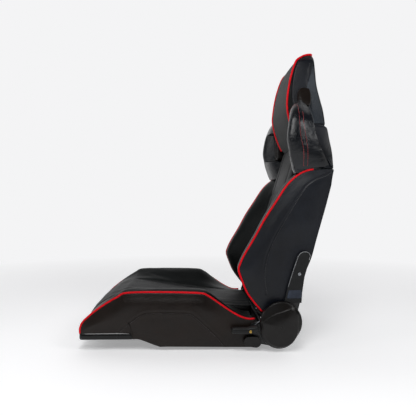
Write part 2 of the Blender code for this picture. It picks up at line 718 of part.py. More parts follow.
def head_pad():
    """The head cushion: its face is crowned and its rim follows the piping."""
    levels = (
        (0.6380, 0.1180, 0.2960), (0.6480, 0.1180, 0.2860), (0.6790, 0.1310, 0.2750),
        (0.7110, 0.1375, 0.2650), (0.7550, 0.1400, 0.2560),
        (0.7880, 0.1355, 0.2560), (0.8380, 0.1305, 0.2630), (0.8830, 0.1255, 0.2740),
        (0.9220, 0.1150, 0.2890), (0.9380, 0.0970, 0.3000),
        (0.9440, 0.0910, 0.3050), (0.9520, 0.0740, 0.3110), (0.9550, 0.0600, 0.3150),
    )
    rings = []
    for z, w, front in levels:
        rear = front + (0.030 if z < 0.85 else 0.026)
        rear = min(rear, at(((0.930, 0.330), (0.938, 0.3120), (0.944, 0.3125), (0.955, 0.3200)), z))
        crown = 0.012 if 0.64 < z < 0.93 else 0.004
        half = [
            (w, rear), (w, front + 0.004), (w - 0.010, front - 0.4 * crown), (0.6 * w, front - crown),
            (0.25 * w, front - 1.1 * crown),
        ]
        rings.append([(x, y, z) for x, y in half] + [(-x, y, z) for x, y in reversed(half)])
    return loft("head_pad", rings, SEAT_LEATHER, origin=BACK_ORIGIN)


# Shoulder rear panel levels: Z, front Y, outer X, rear Y at the outer edge, rear Y at the inner edge.
SHOULDER_LEVELS = (
    (0.5600, 0.3715, 0.2540, 0.3785, 0.3985), (0.5850, 0.3600, 0.2480, 0.3770, 0.3950),
    (0.6080, 0.3500, 0.2400, 0.3750, 0.3915),
)
SHOULDER_INNER_X = 0.1515


def shoulder_rear_panel(side, sign):
    """A padded corner under the harness slot, between the wing and the head shell."""
    rings = []
    for z, front, outer, rear, inner_rear in SHOULDER_LEVELS:
        outline = [(SHOULDER_INNER_X, front), (outer, front), (outer, rear - 0.003), (outer - 0.006, rear)]
        outline.append((SHOULDER_INNER_X, inner_rear))
        rings.append([(sign * x, y, z) for x, y in outline])
    return loft(f"shoulder_rear_panel_{side}", rings, GLOSS_LEATHER, origin=BACK_ORIGIN)


head_shell()
head_pad()
for side, sign in both_sides():
    shoulder_wing(side, sign)
    shoulder_rear_panel(side, sign)

half_line = smooth_line(HEAD_LINE, 3)
head_route = [tuple(point) for point in half_line] + [(-x, y, z) for x, y, z in reversed(half_line[:-1])]
tube("head_piping", head_route, PIPING_RADIUS, RED_PIPING, origin=BACK_ORIGIN)

hoop_half = [
    (0.085, 0.336, 0.5105), (0.085, 0.350, 0.570), (0.085, 0.350, 0.610), (0.085, 0.330, 0.700),
    (0.085, 0.318, 0.800), (0.080, 0.318, 0.845), (0.060, 0.319, 0.865),
]
hoop_line = hoop_half + [(-x, y, z) for x, y, z in reversed(hoop_half)]
tube("head_hoop", hoop_line, 0.006, FRAME_PAINT, origin=BACK_ORIGIN)


def rounded_slot(half_x, half_z, corner, count=5):
    """A rectangle with round corners about the origin: (X, Z)."""
    line = []
    for turn, (across, up) in enumerate(((1, 1), (-1, 1), (-1, -1), (1, -1))):
        for i in range(count + 1):
            angle = math.radians(90 * turn + 90 * i / count)
            x = across * (half_x - corner) + corner * math.cos(angle)
            z = up * (half_z - corner) + corner * math.sin(angle)
            line.append((x, z))
    return line


SLOT_CENTRE = (0.1828, 0.2900, 0.6675)  # X, Y and Z of the middle of the left harness slot
SURROUND_HALF = (0.0307, 0.0520)
SLOT_HALF = (0.0170, 0.0400)
for side, sign in both_sides():
    edges = [rounded_slot(*SURROUND_HALF, 0.012), rounded_slot(*SLOT_HALF, 0.0168)]
    bezel = curve_object(f"harness_bezel_{side}", edges, PLASTIC, "2D", cyclic=True)
    bezel.data.fill_mode = "BOTH"
    bezel.data.extrude = 0.014
    stand = Matrix(((1, 0, 0), (0, 0, -1), (0, 1, 0))).to_4x4()
    bezel.matrix_world = Matrix.Translation((sign * SLOT_CENTRE[0], *SLOT_CENTRE[1:])) @ stand
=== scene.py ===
"""Looks of the reclining sport seat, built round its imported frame."""

import json
import math

import bmesh
import bpy
import numpy as np
from mathutils import Matrix, Vector, noise
from mathutils.bvhtree import BVHTree

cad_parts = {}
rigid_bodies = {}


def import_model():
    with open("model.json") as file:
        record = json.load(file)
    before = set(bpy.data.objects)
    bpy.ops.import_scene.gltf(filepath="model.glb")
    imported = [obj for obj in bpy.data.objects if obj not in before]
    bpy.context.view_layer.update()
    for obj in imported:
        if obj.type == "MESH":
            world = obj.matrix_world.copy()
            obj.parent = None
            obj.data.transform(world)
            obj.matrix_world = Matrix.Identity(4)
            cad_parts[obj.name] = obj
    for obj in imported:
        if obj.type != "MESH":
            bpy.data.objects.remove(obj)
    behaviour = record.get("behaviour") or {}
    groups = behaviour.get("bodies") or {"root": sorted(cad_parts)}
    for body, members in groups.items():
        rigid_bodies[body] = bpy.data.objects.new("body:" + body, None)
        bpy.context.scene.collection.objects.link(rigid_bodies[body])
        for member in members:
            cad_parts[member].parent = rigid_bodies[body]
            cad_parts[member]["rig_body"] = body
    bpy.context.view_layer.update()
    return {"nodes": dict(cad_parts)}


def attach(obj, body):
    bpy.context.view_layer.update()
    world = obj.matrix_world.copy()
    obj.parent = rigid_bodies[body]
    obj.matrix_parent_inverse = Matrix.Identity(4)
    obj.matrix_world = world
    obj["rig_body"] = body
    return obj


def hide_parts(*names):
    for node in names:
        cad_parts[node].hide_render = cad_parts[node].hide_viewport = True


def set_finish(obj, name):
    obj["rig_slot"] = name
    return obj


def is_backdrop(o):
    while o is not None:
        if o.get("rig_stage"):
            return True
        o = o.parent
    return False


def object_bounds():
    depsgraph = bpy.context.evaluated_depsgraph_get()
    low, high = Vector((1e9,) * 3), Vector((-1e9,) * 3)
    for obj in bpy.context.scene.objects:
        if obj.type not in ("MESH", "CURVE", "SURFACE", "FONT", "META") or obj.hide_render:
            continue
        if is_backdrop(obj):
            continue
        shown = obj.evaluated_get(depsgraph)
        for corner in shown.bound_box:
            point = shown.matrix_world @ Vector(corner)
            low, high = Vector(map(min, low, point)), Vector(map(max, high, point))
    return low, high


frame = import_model()


# ---- Studio: a pale floor, a pale room and three soft boxes round the seat ----
# The camera stands 1.75 m to the sitter's left, a little in front and at mid height, so the near
# side panels show full on and the far bolsters show above them.

SIDES = (("left", 1), ("right", -1))


def linear(hex_colour):
    """An sRGB hex colour as linear red, green, blue and alpha."""
    parts = [int(hex_colour[i : i + 2], 16) / 255 for i in (1, 3, 5)]
    return (*[c / 12.92 if c <= 0.04045 else ((c + 0.055) / 1.055) ** 2.4 for c in parts], 1.0)


def add(material, kind, settings=None, **links):
    """Adds a shader node, with its settings and its inputs: a value, or another node's output."""
    tree = material.node_tree
    node = tree.nodes.new(kind)
    for key, value in (settings or {}).items():
        setattr(node, key, value)
    for key, value in links.items():
        by_number = key[0] == "i" and key[1:].isdigit()
        socket = node.inputs[int(key[1:]) if by_number else key.replace("_", " ")]
        if isinstance(value, bpy.types.NodeSocket):
            tree.links.new(value, socket)
        else:
            socket.default_value = value
    return node


def new_material(name):
    """A new node material, its Principled shader and its position on the object, in metres."""
    material = bpy.data.materials.new(name)
    material.use_nodes = True
    place = add(material, "ShaderNodeTexCoord").outputs["Object"]
    return material, material.node_tree.nodes["Principled BSDF"], place


def drive(shader, name, socket):
    """Feeds one input of a shader from another node's output."""
    shader.id_data.links.new(socket, shader.inputs[name])


def set_inputs(shader, **values):
    """Sets plain values of a shader, such as Roughness=0.5."""
    for name, value in values.items():
        shader.inputs[name.replace("_", " ")].default_value = value


def emboss(material, shader, height, strength, distance, over=None, **settings):
    """Raises a pattern as fine relief on a shader, over another relief if there is one."""
    bump = add(material, "ShaderNodeBump", settings, Strength=strength, Distance=distance, Height=height)
    if over:
        material.node_tree.links.new(over, bump.inputs["Normal"])
    drive(shader, "Normal", bump.outputs["Normal"])
    return bump.outputs["Normal"]


def ramp(material, factor, stops):
    """A colour ramp over a factor: (position, hex colour) stops."""
    node = add(material, "ShaderNodeValToRGB", Fac=factor)
    elements = node.color_ramp.elements
    while len(elements) < len(stops):
        elements.new(0.5)
    for element, (position, colour) in zip(elements, stops):
        element.position = position
        element.color = linear(colour)
    return node.outputs["Color"]


floor_finish, shader, place = new_material("matt_painted_floor")
cloud = add(floor_finish, "ShaderNodeTexNoise", Vector=place, Scale=0.7, Detail=3.0)
drive(shader, "Base Color", ramp(floor_finish, cloud.outputs["Fac"], ((0.3, "#F0F0F1"), (0.7, "#F5F5F6"))))
set_inputs(shader, Roughness=0.7, Emission_Color=linear("#F4F4F5"), Emission_Strength=0.35)
span = add(floor_finish, "ShaderNodeVectorMath", {"operation": "LENGTH"}, Vector=place)
fade = add(floor_finish, "ShaderNodeMapRange", Value=span.outputs["Value"], i1=0.7, i2=2.4)
glow = add(floor_finish, "ShaderNodeEmission", Color=linear("#F4F4F5"), Strength=1.0)
mixed = add(
    floor_finish, "ShaderNodeMixShader",
    Fac=fade.outputs["Result"], i1=shader.outputs["BSDF"], i2=glow.outputs["Emission"],
)
floor_end = floor_finish.node_tree.nodes["Material Output"]
floor_finish.node_tree.links.new(mixed.outputs["Shader"], floor_end.inputs["Surface"])
bpy.ops.mesh.primitive_plane_add(size=60)
floor = bpy.context.object
floor.name = "studio_floor"
floor.data.materials.append(floor_finish)
floor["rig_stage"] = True

world = bpy.data.worlds.new("pale_room")
bpy.context.scene.world = world
world.use_nodes = True
facing = add(world, "ShaderNodeSeparateXYZ", Vector=add(world, "ShaderNodeTexCoord").outputs["Generated"])
turn = add(world, "ShaderNodeMapRange", Value=facing.outputs["X"], i1=-1.0, i2=1.0)
shade = ramp(world, turn.outputs["Result"], ((0.22, "#F4F4F5"), (0.46, "#1C1D20")))
world.node_tree.links.new(shade, world.node_tree.nodes["Background"].inputs["Color"])
bpy.context.scene.view_settings.view_transform = "Standard"


def soft_box(name, position, size, energy, target=(0.0, 0.1, 0.45)):
    """A rectangular studio light that faces the seat."""
    data = bpy.data.lights.new(name, "AREA")
    data.shape = "RECTANGLE"
    data.size, data.size_y = size
    data.energy = energy
    light = bpy.data.objects.new(name, data)
    bpy.context.scene.collection.objects.link(light)
    light.location = position
    light.rotation_euler = (Vector(target) - Vector(position)).to_track_quat("-Z", "Y").to_euler()
    return light


soft_box("overhead_box", (1.65, -0.2, 2.0), (0.7, 1.8), 26)
soft_box("front_box", (1.1, -2.0, 1.3), (0.6, 1.4), 7)
soft_box("rear_box", (1.69, 1.64, 1.75), (0.5, 0.7), 12)

CAMERA_DISTANCE = 1.75
CAMERA_AZIMUTH = math.radians(88)
EYE_HEIGHT = 0.4546
TARGET_HEIGHT = 0.431
camera = bpy.data.objects.new("camera", bpy.data.cameras.new("camera"))
camera.data.lens = 42.4
camera.location = (
    CAMERA_DISTANCE * math.sin(CAMERA_AZIMUTH), -CAMERA_DISTANCE * math.cos(CAMERA_AZIMUTH), EYE_HEIGHT
)
aim = Vector((0, 0, TARGET_HEIGHT)) - camera.location
camera.rotation_euler = aim.to_track_quat("-Z", "Y").to_euler()
bpy.context.scene.collection.objects.link(camera)
bpy.context.scene.camera = camera


# ---- Cushion side panels ----
# Black coated leather glued over a thin board, with a raised trapezoid sewn in along its lower edge.
# The cover is drawn tight, so it is nearly flat, with a soft edge under the piping and faint waves.

PANEL_X = 0.2623  # outer face of the side boards
CUSHION_LINE = (
    (-0.3972, 0.056), (-0.3965, 0.072), (-0.387, 0.091), (-0.357, 0.118), (-0.320, 0.144),
    (-0.285, 0.164), (-0.255, 0.177), (-0.150, 0.1785), (-0.038, 0.175), (-0.010, 0.167), (0.027, 0.142),
    (0.062, 0.118), (0.093, 0.101), (0.114, 0.095), (0.132, 0.095),
)
SKIRT_LINE = (
    (-0.3950, 0.0535), (-0.2497, 0.0535), (-0.2400, 0.0365), (-0.216, 0.0345), (-0.159, 0.013),
    (-0.134, 0.012), (0.049, 0.0095), (0.138, 0.0085),
)
CUSHION_SEAM = (
    (-0.287, 0.054), (-0.255, 0.082), (-0.226, 0.106), (-0.205, 0.116), (-0.180, 0.1195),
    (-0.120, 0.1195), (-0.068, 0.117), (-0.046, 0.106), (-0.012, 0.075), (0.018, 0.045), (0.042, 0.014),
)


def curve_span(a, b, c, d, steps):
    """Points from b towards c on the Catmull-Rom curve through four points."""
    return [
        0.5 * (2 * b + (c - a) * t + (2 * a - 5 * b + 4 * c - d) * t**2 + (3 * b - a - 3 * c + d) * t**3)
        for t in np.arange(steps) / steps
    ]


def smooth_line(points, steps=6):
    """Points on the Catmull-Rom curve through a few points, as an array."""
    points = [np.array(point, float) for point in points]
    chain = [2 * points[0] - points[1], *points, 2 * points[-1] - points[-2]]
    line = []
    for a, b, c, d in zip(chain, chain[1:], chain[2:], chain[3:]):
        line += curve_span(a, b, c, d, steps)
    return np.array([*line, points[-1]])


def distances(line):
    """The way along a line to each of its points."""
    return np.concatenate([[0], np.cumsum(np.linalg.norm(np.diff(line, axis=0), axis=1))])


def directions(line):
    """The unit direction of a line at each of its points."""
    run = np.gradient(line, axis=0)
    return run / np.linalg.norm(run, axis=1)[:, None]


def resample(line, count, spread=None):
    """Points along a line at even distances, or at the given shares of its length."""
    line = np.asarray(line, float)
    reach = distances(line)
    stops = (np.linspace(0, 1, count) if spread is None else np.asarray(spread)) * reach[-1]
    return np.stack([np.interp(stops, reach, line[:, i]) for i in range(line.shape[1])], axis=1)


def at_x(x, line):
    """A (Y, Z) line set at one X."""
    return np.column_stack([np.full(len(line), x), line])


def at_z(line, z):
    """An (X, Y) line set at one height."""
    return np.column_stack([line, np.full(len(line), z)])


def level(table, key):
    """Values at a key on a smooth curve through (key, value, ...) rows, held at both ends."""
    rows = smooth_line(sorted(table), 8)
    return [float(np.interp(key, rows[:, 0], rows[:, i])) for i in range(1, rows.shape[1])]


def distance_to(points, line):
    """The distance of each 2D point to a line of points."""
    points, line = np.asarray(points, float), np.asarray(line, float)
    nearest = np.full(len(points), 1e9)
    for a, b in zip(line, line[1:]):
        run = b - a
        t = np.clip(((points - a) @ run) / max(run @ run, 1e-12), 0, 1)
        nearest = np.minimum(nearest, np.linalg.norm(points - a - t[:, None] * run, axis=1))
    return nearest


def ripple(points, size, seed):
    """Smooth noise from -1 to 1 at each point, with waves of about the given size."""
    shift = Vector((seed * 7.1, seed * 3.3, seed * 5.7))
    return np.array([noise.noise(Vector(point) / size + shift) for point in points])


def mesh_piece(name, points, faces, material, body, slot, replaced=(), closed=True):
    """A smooth-shaded mesh that rides on a body, takes a slot's finish and stands for CAD nodes."""
    mesh = bpy.data.meshes.new(name)
    mesh.from_pydata([tuple(map(float, point)) for point in points], [], faces)
    mesh.validate()
    if closed:
        solid = bmesh.new()
        solid.from_mesh(mesh)
        bmesh.ops.recalc_face_normals(solid, faces=solid.faces)
        solid.to_mesh(mesh)
        solid.free()
    mesh.shade_smooth()
    mesh.materials.append(material)
    piece = bpy.data.objects.new(name, mesh)
    bpy.context.scene.collection.objects.link(piece)
    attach(piece, body)
    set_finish(piece, slot)
    if replaced:
        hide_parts(*replaced)
    return piece


def grid_faces(rows, columns, ring=False, flip=False):
    """Quads over rows of points; a ring joins the last column to the first."""
    faces = []
    for i in range(rows - 1):
        for j in range(columns if ring else columns - 1):
            k = (j + 1) % columns
            quad = (i * columns + j, i * columns + k, (i + 1) * columns + k, (i + 1) * columns + j)
            faces.append(quad[::-1] if flip else quad)
    return faces


def give_thickness(piece, thickness):
    """Makes a sheet as thick as the real cover, inwards from its face."""
    wall = piece.modifiers.new("cover_thickness", "SOLIDIFY")
    wall.thickness = thickness
    wall.offset = -1
    return wall


def coated_leather(
    name, dark, light, gloss, grain_mm=1.6, grain_depth=0.25, crease=0.12, coat=0.0, shine=0.30,
):
    """Polyurethane-coated leather: an embossed pebble grain under a thin clear topcoat.
    The pebbles are Voronoi cells, creases are stretched noise, and the topcoat wears duller on some of it."""
    material, shader, place = new_material(name)
    cells = add(
        material, "ShaderNodeTexVoronoi", {"feature": "SMOOTH_F1"},
        Vector=place, Scale=1000 / grain_mm, Smoothness=0.6,
    )
    folds = add(
        material, "ShaderNodeTexNoise", Vector=place, Scale=55.0, Detail=6.0, Roughness=0.6, Distortion=0.6,
    )
    wear = add(material, "ShaderNodeTexNoise", Vector=place, Scale=9.0, Detail=4.0, Roughness=0.55)
    tone = ramp(material, wear.outputs["Fac"], ((0.32, dark), (0.72, light)))
    pits = add(
        material, "ShaderNodeMix", {"data_type": "RGBA", "blend_type": "MULTIPLY"},
        i0=0.35, i6=tone,
        i7=ramp(material, cells.outputs["Distance"], ((0.05, "#FFFFFF"), (0.75, "#B0B0B0"))),
    )
    drive(shader, "Base Color", pits.outputs[2])
    sheen = add(
        material, "ShaderNodeMapRange", Value=wear.outputs["Fac"], i1=0.3, i2=0.7, i3=gloss - 0.05,
        i4=gloss + 0.07,
    )
    drive(shader, "Roughness", sheen.outputs["Result"])
    pebbles = emboss(material, shader, cells.outputs["Distance"], grain_depth, 0.0006, invert=True)
    emboss(material, shader, folds.outputs["Fac"], crease, 0.004, pebbles)
    set_inputs(shader, IOR=1.45, Specular_IOR_Level=shine, Coat_Weight=coat, Coat_Roughness=gloss * 0.8)
    return material


# Brownish black where it faces the seat's side boards: a satin that shows long soft highlights. Its brownish
# tint is painted warm light.
side_leather = coated_leather("black_leather_satin_painted_warm_light", "#140E0B", "#1F1712", 0.36)


def thread_material(name, hex_colour):
    """Bonded polyester sewing thread: two plies whose twist shows as fine slanting bands."""
    material, shader, place = new_material(name)
    twist = add(
        material, "ShaderNodeTexWave", {"wave_type": "BANDS", "bands_direction": "DIAGONAL"}, Vector=place,
        Scale=420.0,
    )
    dark = "#" + "".join(f"{int(int(hex_colour[i:i + 2], 16) * 0.6):02X}" for i in (1, 3, 5))
    drive(shader, "Base Color", ramp(material, twist.outputs["Fac"], ((0.2, dark), (0.8, hex_colour))))
    emboss(material, shader, twist.outputs["Fac"], 0.3, 0.0003)
    set_inputs(shader, Roughness=0.55, Sheen_Weight=0.3)
    return material


black_thread = thread_material("black_bonded_thread", "#2E2E30")


def stitches(name, line, material, body, slot, pitch=0.0046, length=0.0034, radius=0.00042):
    """A row of lockstitches along a line on a surface: one short closed spindle of thread each."""
    line = np.asarray(line, float)
    total = np.linalg.norm(np.diff(line, axis=0), axis=1).sum()
    count = max(int(total / pitch), 2)
    starts = (np.arange(count) + 0.15) / count
    spans = length / pitch / count
    points, faces = [], []
    rings, sides = (0.0, 0.25, 0.75, 1.0), 5
    for first in starts:
        a, b = resample(line, 2, [first, min(first + spans, 1.0)])
        run = b - a
        run = run / max(np.linalg.norm(run), 1e-9)
        across = np.cross(run, [0.3, 0.2, 0.9])
        across /= np.linalg.norm(across)
        up = np.cross(run, across)
        base = len(points)
        for share in rings:
            thick = radius * (0.45 if share in (0.0, 1.0) else 1.0)
            for k in range(sides):
                angle = 2 * math.pi * k / sides
                points.append(a + (b - a) * share + thick * (math.cos(angle) * across + math.sin(angle) * up))
        for ring in range(len(rings) - 1):
            for k in range(sides):
                n = (k + 1) % sides
                low, high = base + ring * sides, base + (ring + 1) * sides
                faces.append((low + k, high + k, high + n, low + n))
        faces.append(tuple(base + k for k in range(sides)))
        faces.append(tuple(base + (len(rings) - 1) * sides + k for k in reversed(range(sides))))
    return mesh_piece(name, points, faces, material, body, slot)


cushion_edge = smooth_line(CUSHION_LINE, 6)
cushion_seam = smooth_line(CUSHION_SEAM, 6)


def side_sheet(name, top, bottom, seam, columns, rows, sign, material, body, replaced, flat_line, seed):
    """A covered board: a sheet between a top and a bottom (Y, Z) line, puffed but for a line held flat by
    the hardware over it, with a groove along its seam."""
    upper, lower = resample(top, columns), resample(bottom, columns)
    shares = np.linspace(0, 1, rows)
    flat = lower[None] + (upper - lower)[None] * shares[:, None, None]
    flat = flat.reshape(-1, 2)
    border = np.concatenate([top, bottom[::-1], top[:1]])
    rim = distance_to(flat, border)
    puff = 0.0095 * (1 - np.exp(-((rim / 0.025) ** 2))) - 0.0012 * np.exp(-((rim / 0.004) ** 2))
    at = np.column_stack([np.zeros(len(flat)), flat])
    puff += 0.0008 * ripple(at, 0.07, seed) + 0.0003 * ripple(at, 0.022, seed + 4)
    puff *= 0.25 + 0.75 * np.clip((distance_to(flat, flat_line) - 0.045) / 0.060, 0, 1)
    kernel = np.hanning(21) / np.hanning(21).sum()
    blurred = [
        np.convolve(np.pad(row, 10, mode="edge"), kernel, "valid") for row in puff.reshape(-1, columns)
    ]
    puff = np.concatenate(blurred)
    away = distance_to(flat, seam)
    puff += 0.0008 * np.exp(-((away / 0.009) ** 2)) - 0.0026 * np.exp(-((away / 0.0021) ** 2))
    points = np.column_stack([sign * (PANEL_X - 0.0015 + puff), flat])
    faces = grid_faces(rows, columns, flip=sign < 0)
    piece = mesh_piece(name, points, faces, material, body, "side_leather", replaced, closed=False)
    give_thickness(piece, 0.0030)
    return piece


def inset(line, distance):
    """A (Y, Z) line moved to its right-hand side."""
    run = directions(line)
    return line + distance * np.column_stack([run[:, 1], -run[:, 0]])


def onto(piece, line, sign, lift=0.0003):
    """A (Y, Z) line laid on the outer side of a piece, a little proud of it."""
    mesh = piece.data
    tree = BVHTree.FromPolygons([v.co for v in mesh.vertices], [tuple(p.vertices) for p in mesh.polygons])
    laid = []
    for y, z in line:
        hit = tree.ray_cast(Vector((sign * 1.0, y, z)), Vector((-sign, 0, 0)))[0]
        if hit is not None:
            laid.append((hit.x + sign * lift, y, z))
    return np.array(laid)


RECLINER_LINE = ((0.080, 0.068), (0.215, 0.074))
for side, sign in SIDES:
    panel = side_sheet(
        f"cushion_side_cover_{side}", inset(cushion_edge, 0.0022), smooth_line(SKIRT_LINE, 4), cushion_seam,
        200, 48,
        sign, side_leather, "base", [f"cushion_side_panel_{side}"], RECLINER_LINE, 2,
    )
    laid = onto(panel, inset(cushion_seam, 0.0040), sign)
    stitches(f"cushion_seam_thread_{side}", laid, black_thread, "base", "side_leather")


# ---- Piping ----
# A cord wrapped in bright red coated fabric and sewn into every edge seam; it stands proud of the
# leather. Its cover pulls tight at each stitch, so it carries a faint regular dimple.

red_piping, shader, place = new_material("red_coated_piping")
grain = add(red_piping, "ShaderNodeTexVoronoi", Vector=place, Scale=900.0)
blush = add(red_piping, "ShaderNodeTexNoise", Vector=place, Scale=30.0, Detail=3.0)
drive(shader, "Base Color", ramp(red_piping, blush.outputs["Fac"], ((0.3, "#C2000F"), (0.7, "#DC0018"))))
emboss(red_piping, shader, grain.outputs["Distance"], 0.25, 0.0004)
set_inputs(shader, Roughness=0.5, Specular_IOR_Level=0.15)

PIPING_RADIUS = 0.0033
PIPING_X = 0.2576


def cord_piece(name, line, radius, material, body, slot, replaced=(), sides=12, pinch=0.0):
    """A round cord along a line of points, closed at both ends, pinched a little at each stitch."""
    line = np.asarray(line, float)
    run = directions(line)
    across = np.cross(run, [0.31, 0.22, 0.92])
    across /= np.linalg.norm(across, axis=1)[:, None]
    up = np.cross(run, across)
    reach = distances(line)
    thick = radius * (1 - pinch * (0.5 + 0.5 * np.cos(2 * math.pi * reach / 0.009)))
    rings = []
    for share, shift in ((0.35, -0.8), (0.8, -0.45)):
        rings.append((line[0] + run[0] * radius * shift, across[0], up[0], thick[0] * share))
    rings += list(zip(line, across, up, thick))
    for share, shift in ((0.8, 0.45), (0.35, 0.8)):
        rings.append((line[-1] + run[-1] * radius * shift, across[-1], up[-1], thick[-1] * share))
    angles = 2 * math.pi * np.arange(sides) / sides
    points = [c + r * (math.cos(a) * s + math.sin(a) * u) for c, s, u, r in rings for a in angles]
    faces = grid_faces(len(rings), sides, ring=True)
    faces.append(tuple(range(sides)))
    faces.append(tuple(len(points) - 1 - k for k in range(sides)))
    return mesh_piece(name, points, faces, material, body, slot, replaced)


for side, sign in SIDES:
    route = resample(cushion_edge, 230)
    cord_piece(
        f"cushion_welt_{side}", at_x(sign * PIPING_X, route), PIPING_RADIUS,
        red_piping, "base", "red_piping", [f"cushion_piping_{side}"], pinch=0.05,
    )


# ---- Thigh bolsters ----
# Moulded foam wings along both edges of the cushion, covered in soft black leather that is sewn to
# the middle panel on the inside and to the piping outside. The cover swells between those seams.

bolster_leather = coated_leather(
    "black_coated_leather_soft", "#070A0A", "#0D1212", 0.46, crease=0.22, shine=0.22,
)
BOLSTER_INNER_X = 0.1522
CUSHION_MIDDLE = (
    (-0.394, 0.072), (-0.385, 0.096), (-0.360, 0.122), (-0.330, 0.141), (-0.300, 0.153), (-0.268, 0.158),
    (-0.230, 0.155), (-0.160, 0.143), (-0.100, 0.134), (-0.030, 0.126), (0.060, 0.117), (0.138, 0.112),
)


def read_points(mesh):
    """The points of a mesh, as an array."""
    points = np.empty(len(mesh.vertices) * 3)
    mesh.vertices.foreach_get("co", points)
    return points.reshape(-1, 3)


def write_points(mesh, points):
    """Moves the points of a mesh."""
    mesh.vertices.foreach_set("co", points.ravel())
    mesh.update()


def swell(piece, free, pressure=4.0, cap=0.010):
    """Blows a cover up between its seams as cloth under pressure, then keeps the result in the mesh."""
    before = read_points(piece.data)
    after = before
    sewn = piece.vertex_groups.new(name="sewn")
    sewn.add([int(i) for i in np.flatnonzero(~free)], 1.0, "REPLACE")
    cloth = piece.modifiers.new("cover_cloth", "CLOTH")
    cloth.settings.vertex_group_mass = "sewn"
    cloth.settings.use_pressure = True
    cloth.settings.uniform_pressure_force = pressure
    cloth.settings.effector_weights.gravity = 0
    cloth.settings.quality = 6
    cloth.settings.tension_stiffness = 20
    cloth.settings.compression_stiffness = 20
    cloth.settings.shear_stiffness = 8
    cloth.settings.bending_stiffness = 1.5
    cloth.collision_settings.use_collision = False
    for step in range(1, 21):
        bpy.context.scene.frame_set(step)
    settled = piece.evaluated_get(bpy.context.evaluated_depsgraph_get())
    after = read_points(settled.data)
    piece.modifiers.remove(cloth)
    piece.vertex_groups.remove(sewn)
    bpy.context.scene.frame_set(1)
    move = after - before
    size = np.linalg.norm(move, axis=1)
    move *= (cap * np.tanh(size / cap) / np.maximum(size, 1e-9))[:, None]
    write_points(piece.data, before + move)
    return piece


def fine(piece, levels=1):
    """Smooths a piece by subdivision."""
    finer = piece.modifiers.new("finer", "SUBSURF")
    finer.levels = finer.render_levels = levels
    return piece


def swell_front(piece, rings, sewn_rows, sewn_column, pressure, cap):
    """Swells the face of a lofted cover and smooths it; its end rows and its outer columns stay sewn."""
    columns = len(rings[0])
    free = np.zeros(len(piece.data.vertices), bool)
    for row in range(2, len(rings) - sewn_rows):
        free[row * columns + 1 : row * columns + sewn_column] = True
    swell(piece, free, pressure, cap)
    fine(piece)


def closed_loft(name, sections, material, body, slot, replaced=()):
    """A skin over closed rings with rounded ends: each end shrinks to its middle in three steps."""
    sections = [np.asarray(section, float) for section in sections]
    columns = len(sections[0])
    rings = list(sections)
    faces = grid_faces(len(rings), columns, ring=True)
    points = np.concatenate(rings)
    for end in (0, len(rings) - 1):
        ring = end * columns + np.arange(columns)
        middle = points[ring].mean(axis=0)
        last = ring
        for share in (0.82, 0.55, 0.25):
            start = len(points)
            points = np.concatenate([points, middle + (points[ring] - middle) * share])
            now = start + np.arange(columns)
            for j in range(columns):
                k = (j + 1) % columns
                quad = (int(last[j]), int(last[k]), int(now[k]), int(now[j]))
                faces.append(quad)
            last = now
        faces.append(tuple(int(i) for i in last))
    return mesh_piece(name, points, faces, material, body, slot, replaced)


def mirrored(piece, name, replaced=()):
    """The right-hand twin of a left-hand piece."""
    mesh = piece.data.copy()
    mesh.transform(Matrix.Diagonal((-1, 1, 1, 1)))
    mesh.flip_normals()
    twin = bpy.data.objects.new(name, mesh)
    bpy.context.scene.collection.objects.link(twin)
    for modifier in piece.modifiers:
        if modifier.type == "SUBSURF":
            fine(twin, modifier.levels)
    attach(twin, piece["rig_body"])
    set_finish(twin, piece["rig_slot"])
    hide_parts(*replaced)
    return twin


TOP_COLUMNS, OUTER_COLUMNS, BASE_COLUMNS = 22, 5, 8
WELT_X = 0.2545  # where a bolster's cover meets its piping
BOLSTER_X = 0.2580  # outer side of a bolster, behind its side board


def board_height(y):
    """The top of the seat board, which steps down at its nose."""
    return 0.0605 if y > -0.352 else 0.0555


def thigh_section(y):
    """The bolster's closed outline at one place along the cushion."""
    (edge,) = level(CUSHION_LINE[1:], y)
    (middle,) = level(CUSHION_MIDDLE, y)
    inner = min(middle - 0.004, edge + 0.001)
    low = board_height(y)
    rise = edge - inner
    crest = 0.0088 * float(np.interp(y, (-0.370, -0.270, 0.000, 0.080), (0.25, 1.0, 1.0, 0.3)))
    inside = (
        (BOLSTER_INNER_X, inner), (0.162, inner + 0.10 * rise + 0.002), (0.185, inner + 0.48 * rise),
        (0.208, edge - 0.06 * rise),
    )
    crown = (
        (0.226, edge + 0.95 * crest), (0.240, edge + 0.85 * crest), (0.2495, edge + 0.35 * crest),
        (WELT_X, edge + 0.0002),
    )
    top = smooth_line((*inside, *crown), 6)
    outer = np.array(
        [(WELT_X, edge + 0.0002), (0.2570, edge - 0.004), (BOLSTER_X, edge - 0.010), (BOLSTER_X, low)]
    )
    base = np.array([(BOLSTER_X, low), (BOLSTER_INNER_X, low), (BOLSTER_INNER_X, inner)])
    ring = np.concatenate([
        resample(top, TOP_COLUMNS), resample(outer, OUTER_COLUMNS + 1)[1:],
        resample(base, BASE_COLUMNS + 2)[1:-1],
    ])
    return np.column_stack([ring[:, 0], np.full(len(ring), y), ring[:, 1]])


stations = np.concatenate([[-0.3950, -0.3925, -0.388], np.linspace(-0.382, 0.120, 70), [0.1245, 0.128]])
thigh_rings = [thigh_section(y) for y in stations]
left_thigh = closed_loft(
    "thigh_bolster_cover_left", thigh_rings, bolster_leather, "base", "side_leather", ["thigh_bolster_left"]
)
swell_front(left_thigh, thigh_rings, sewn_rows=2, sewn_column=TOP_COLUMNS - 1, pressure=3.0, cap=0.005)
right_thigh = mirrored(left_thigh, "thigh_bolster_cover_right", ["thigh_bolster_right"])


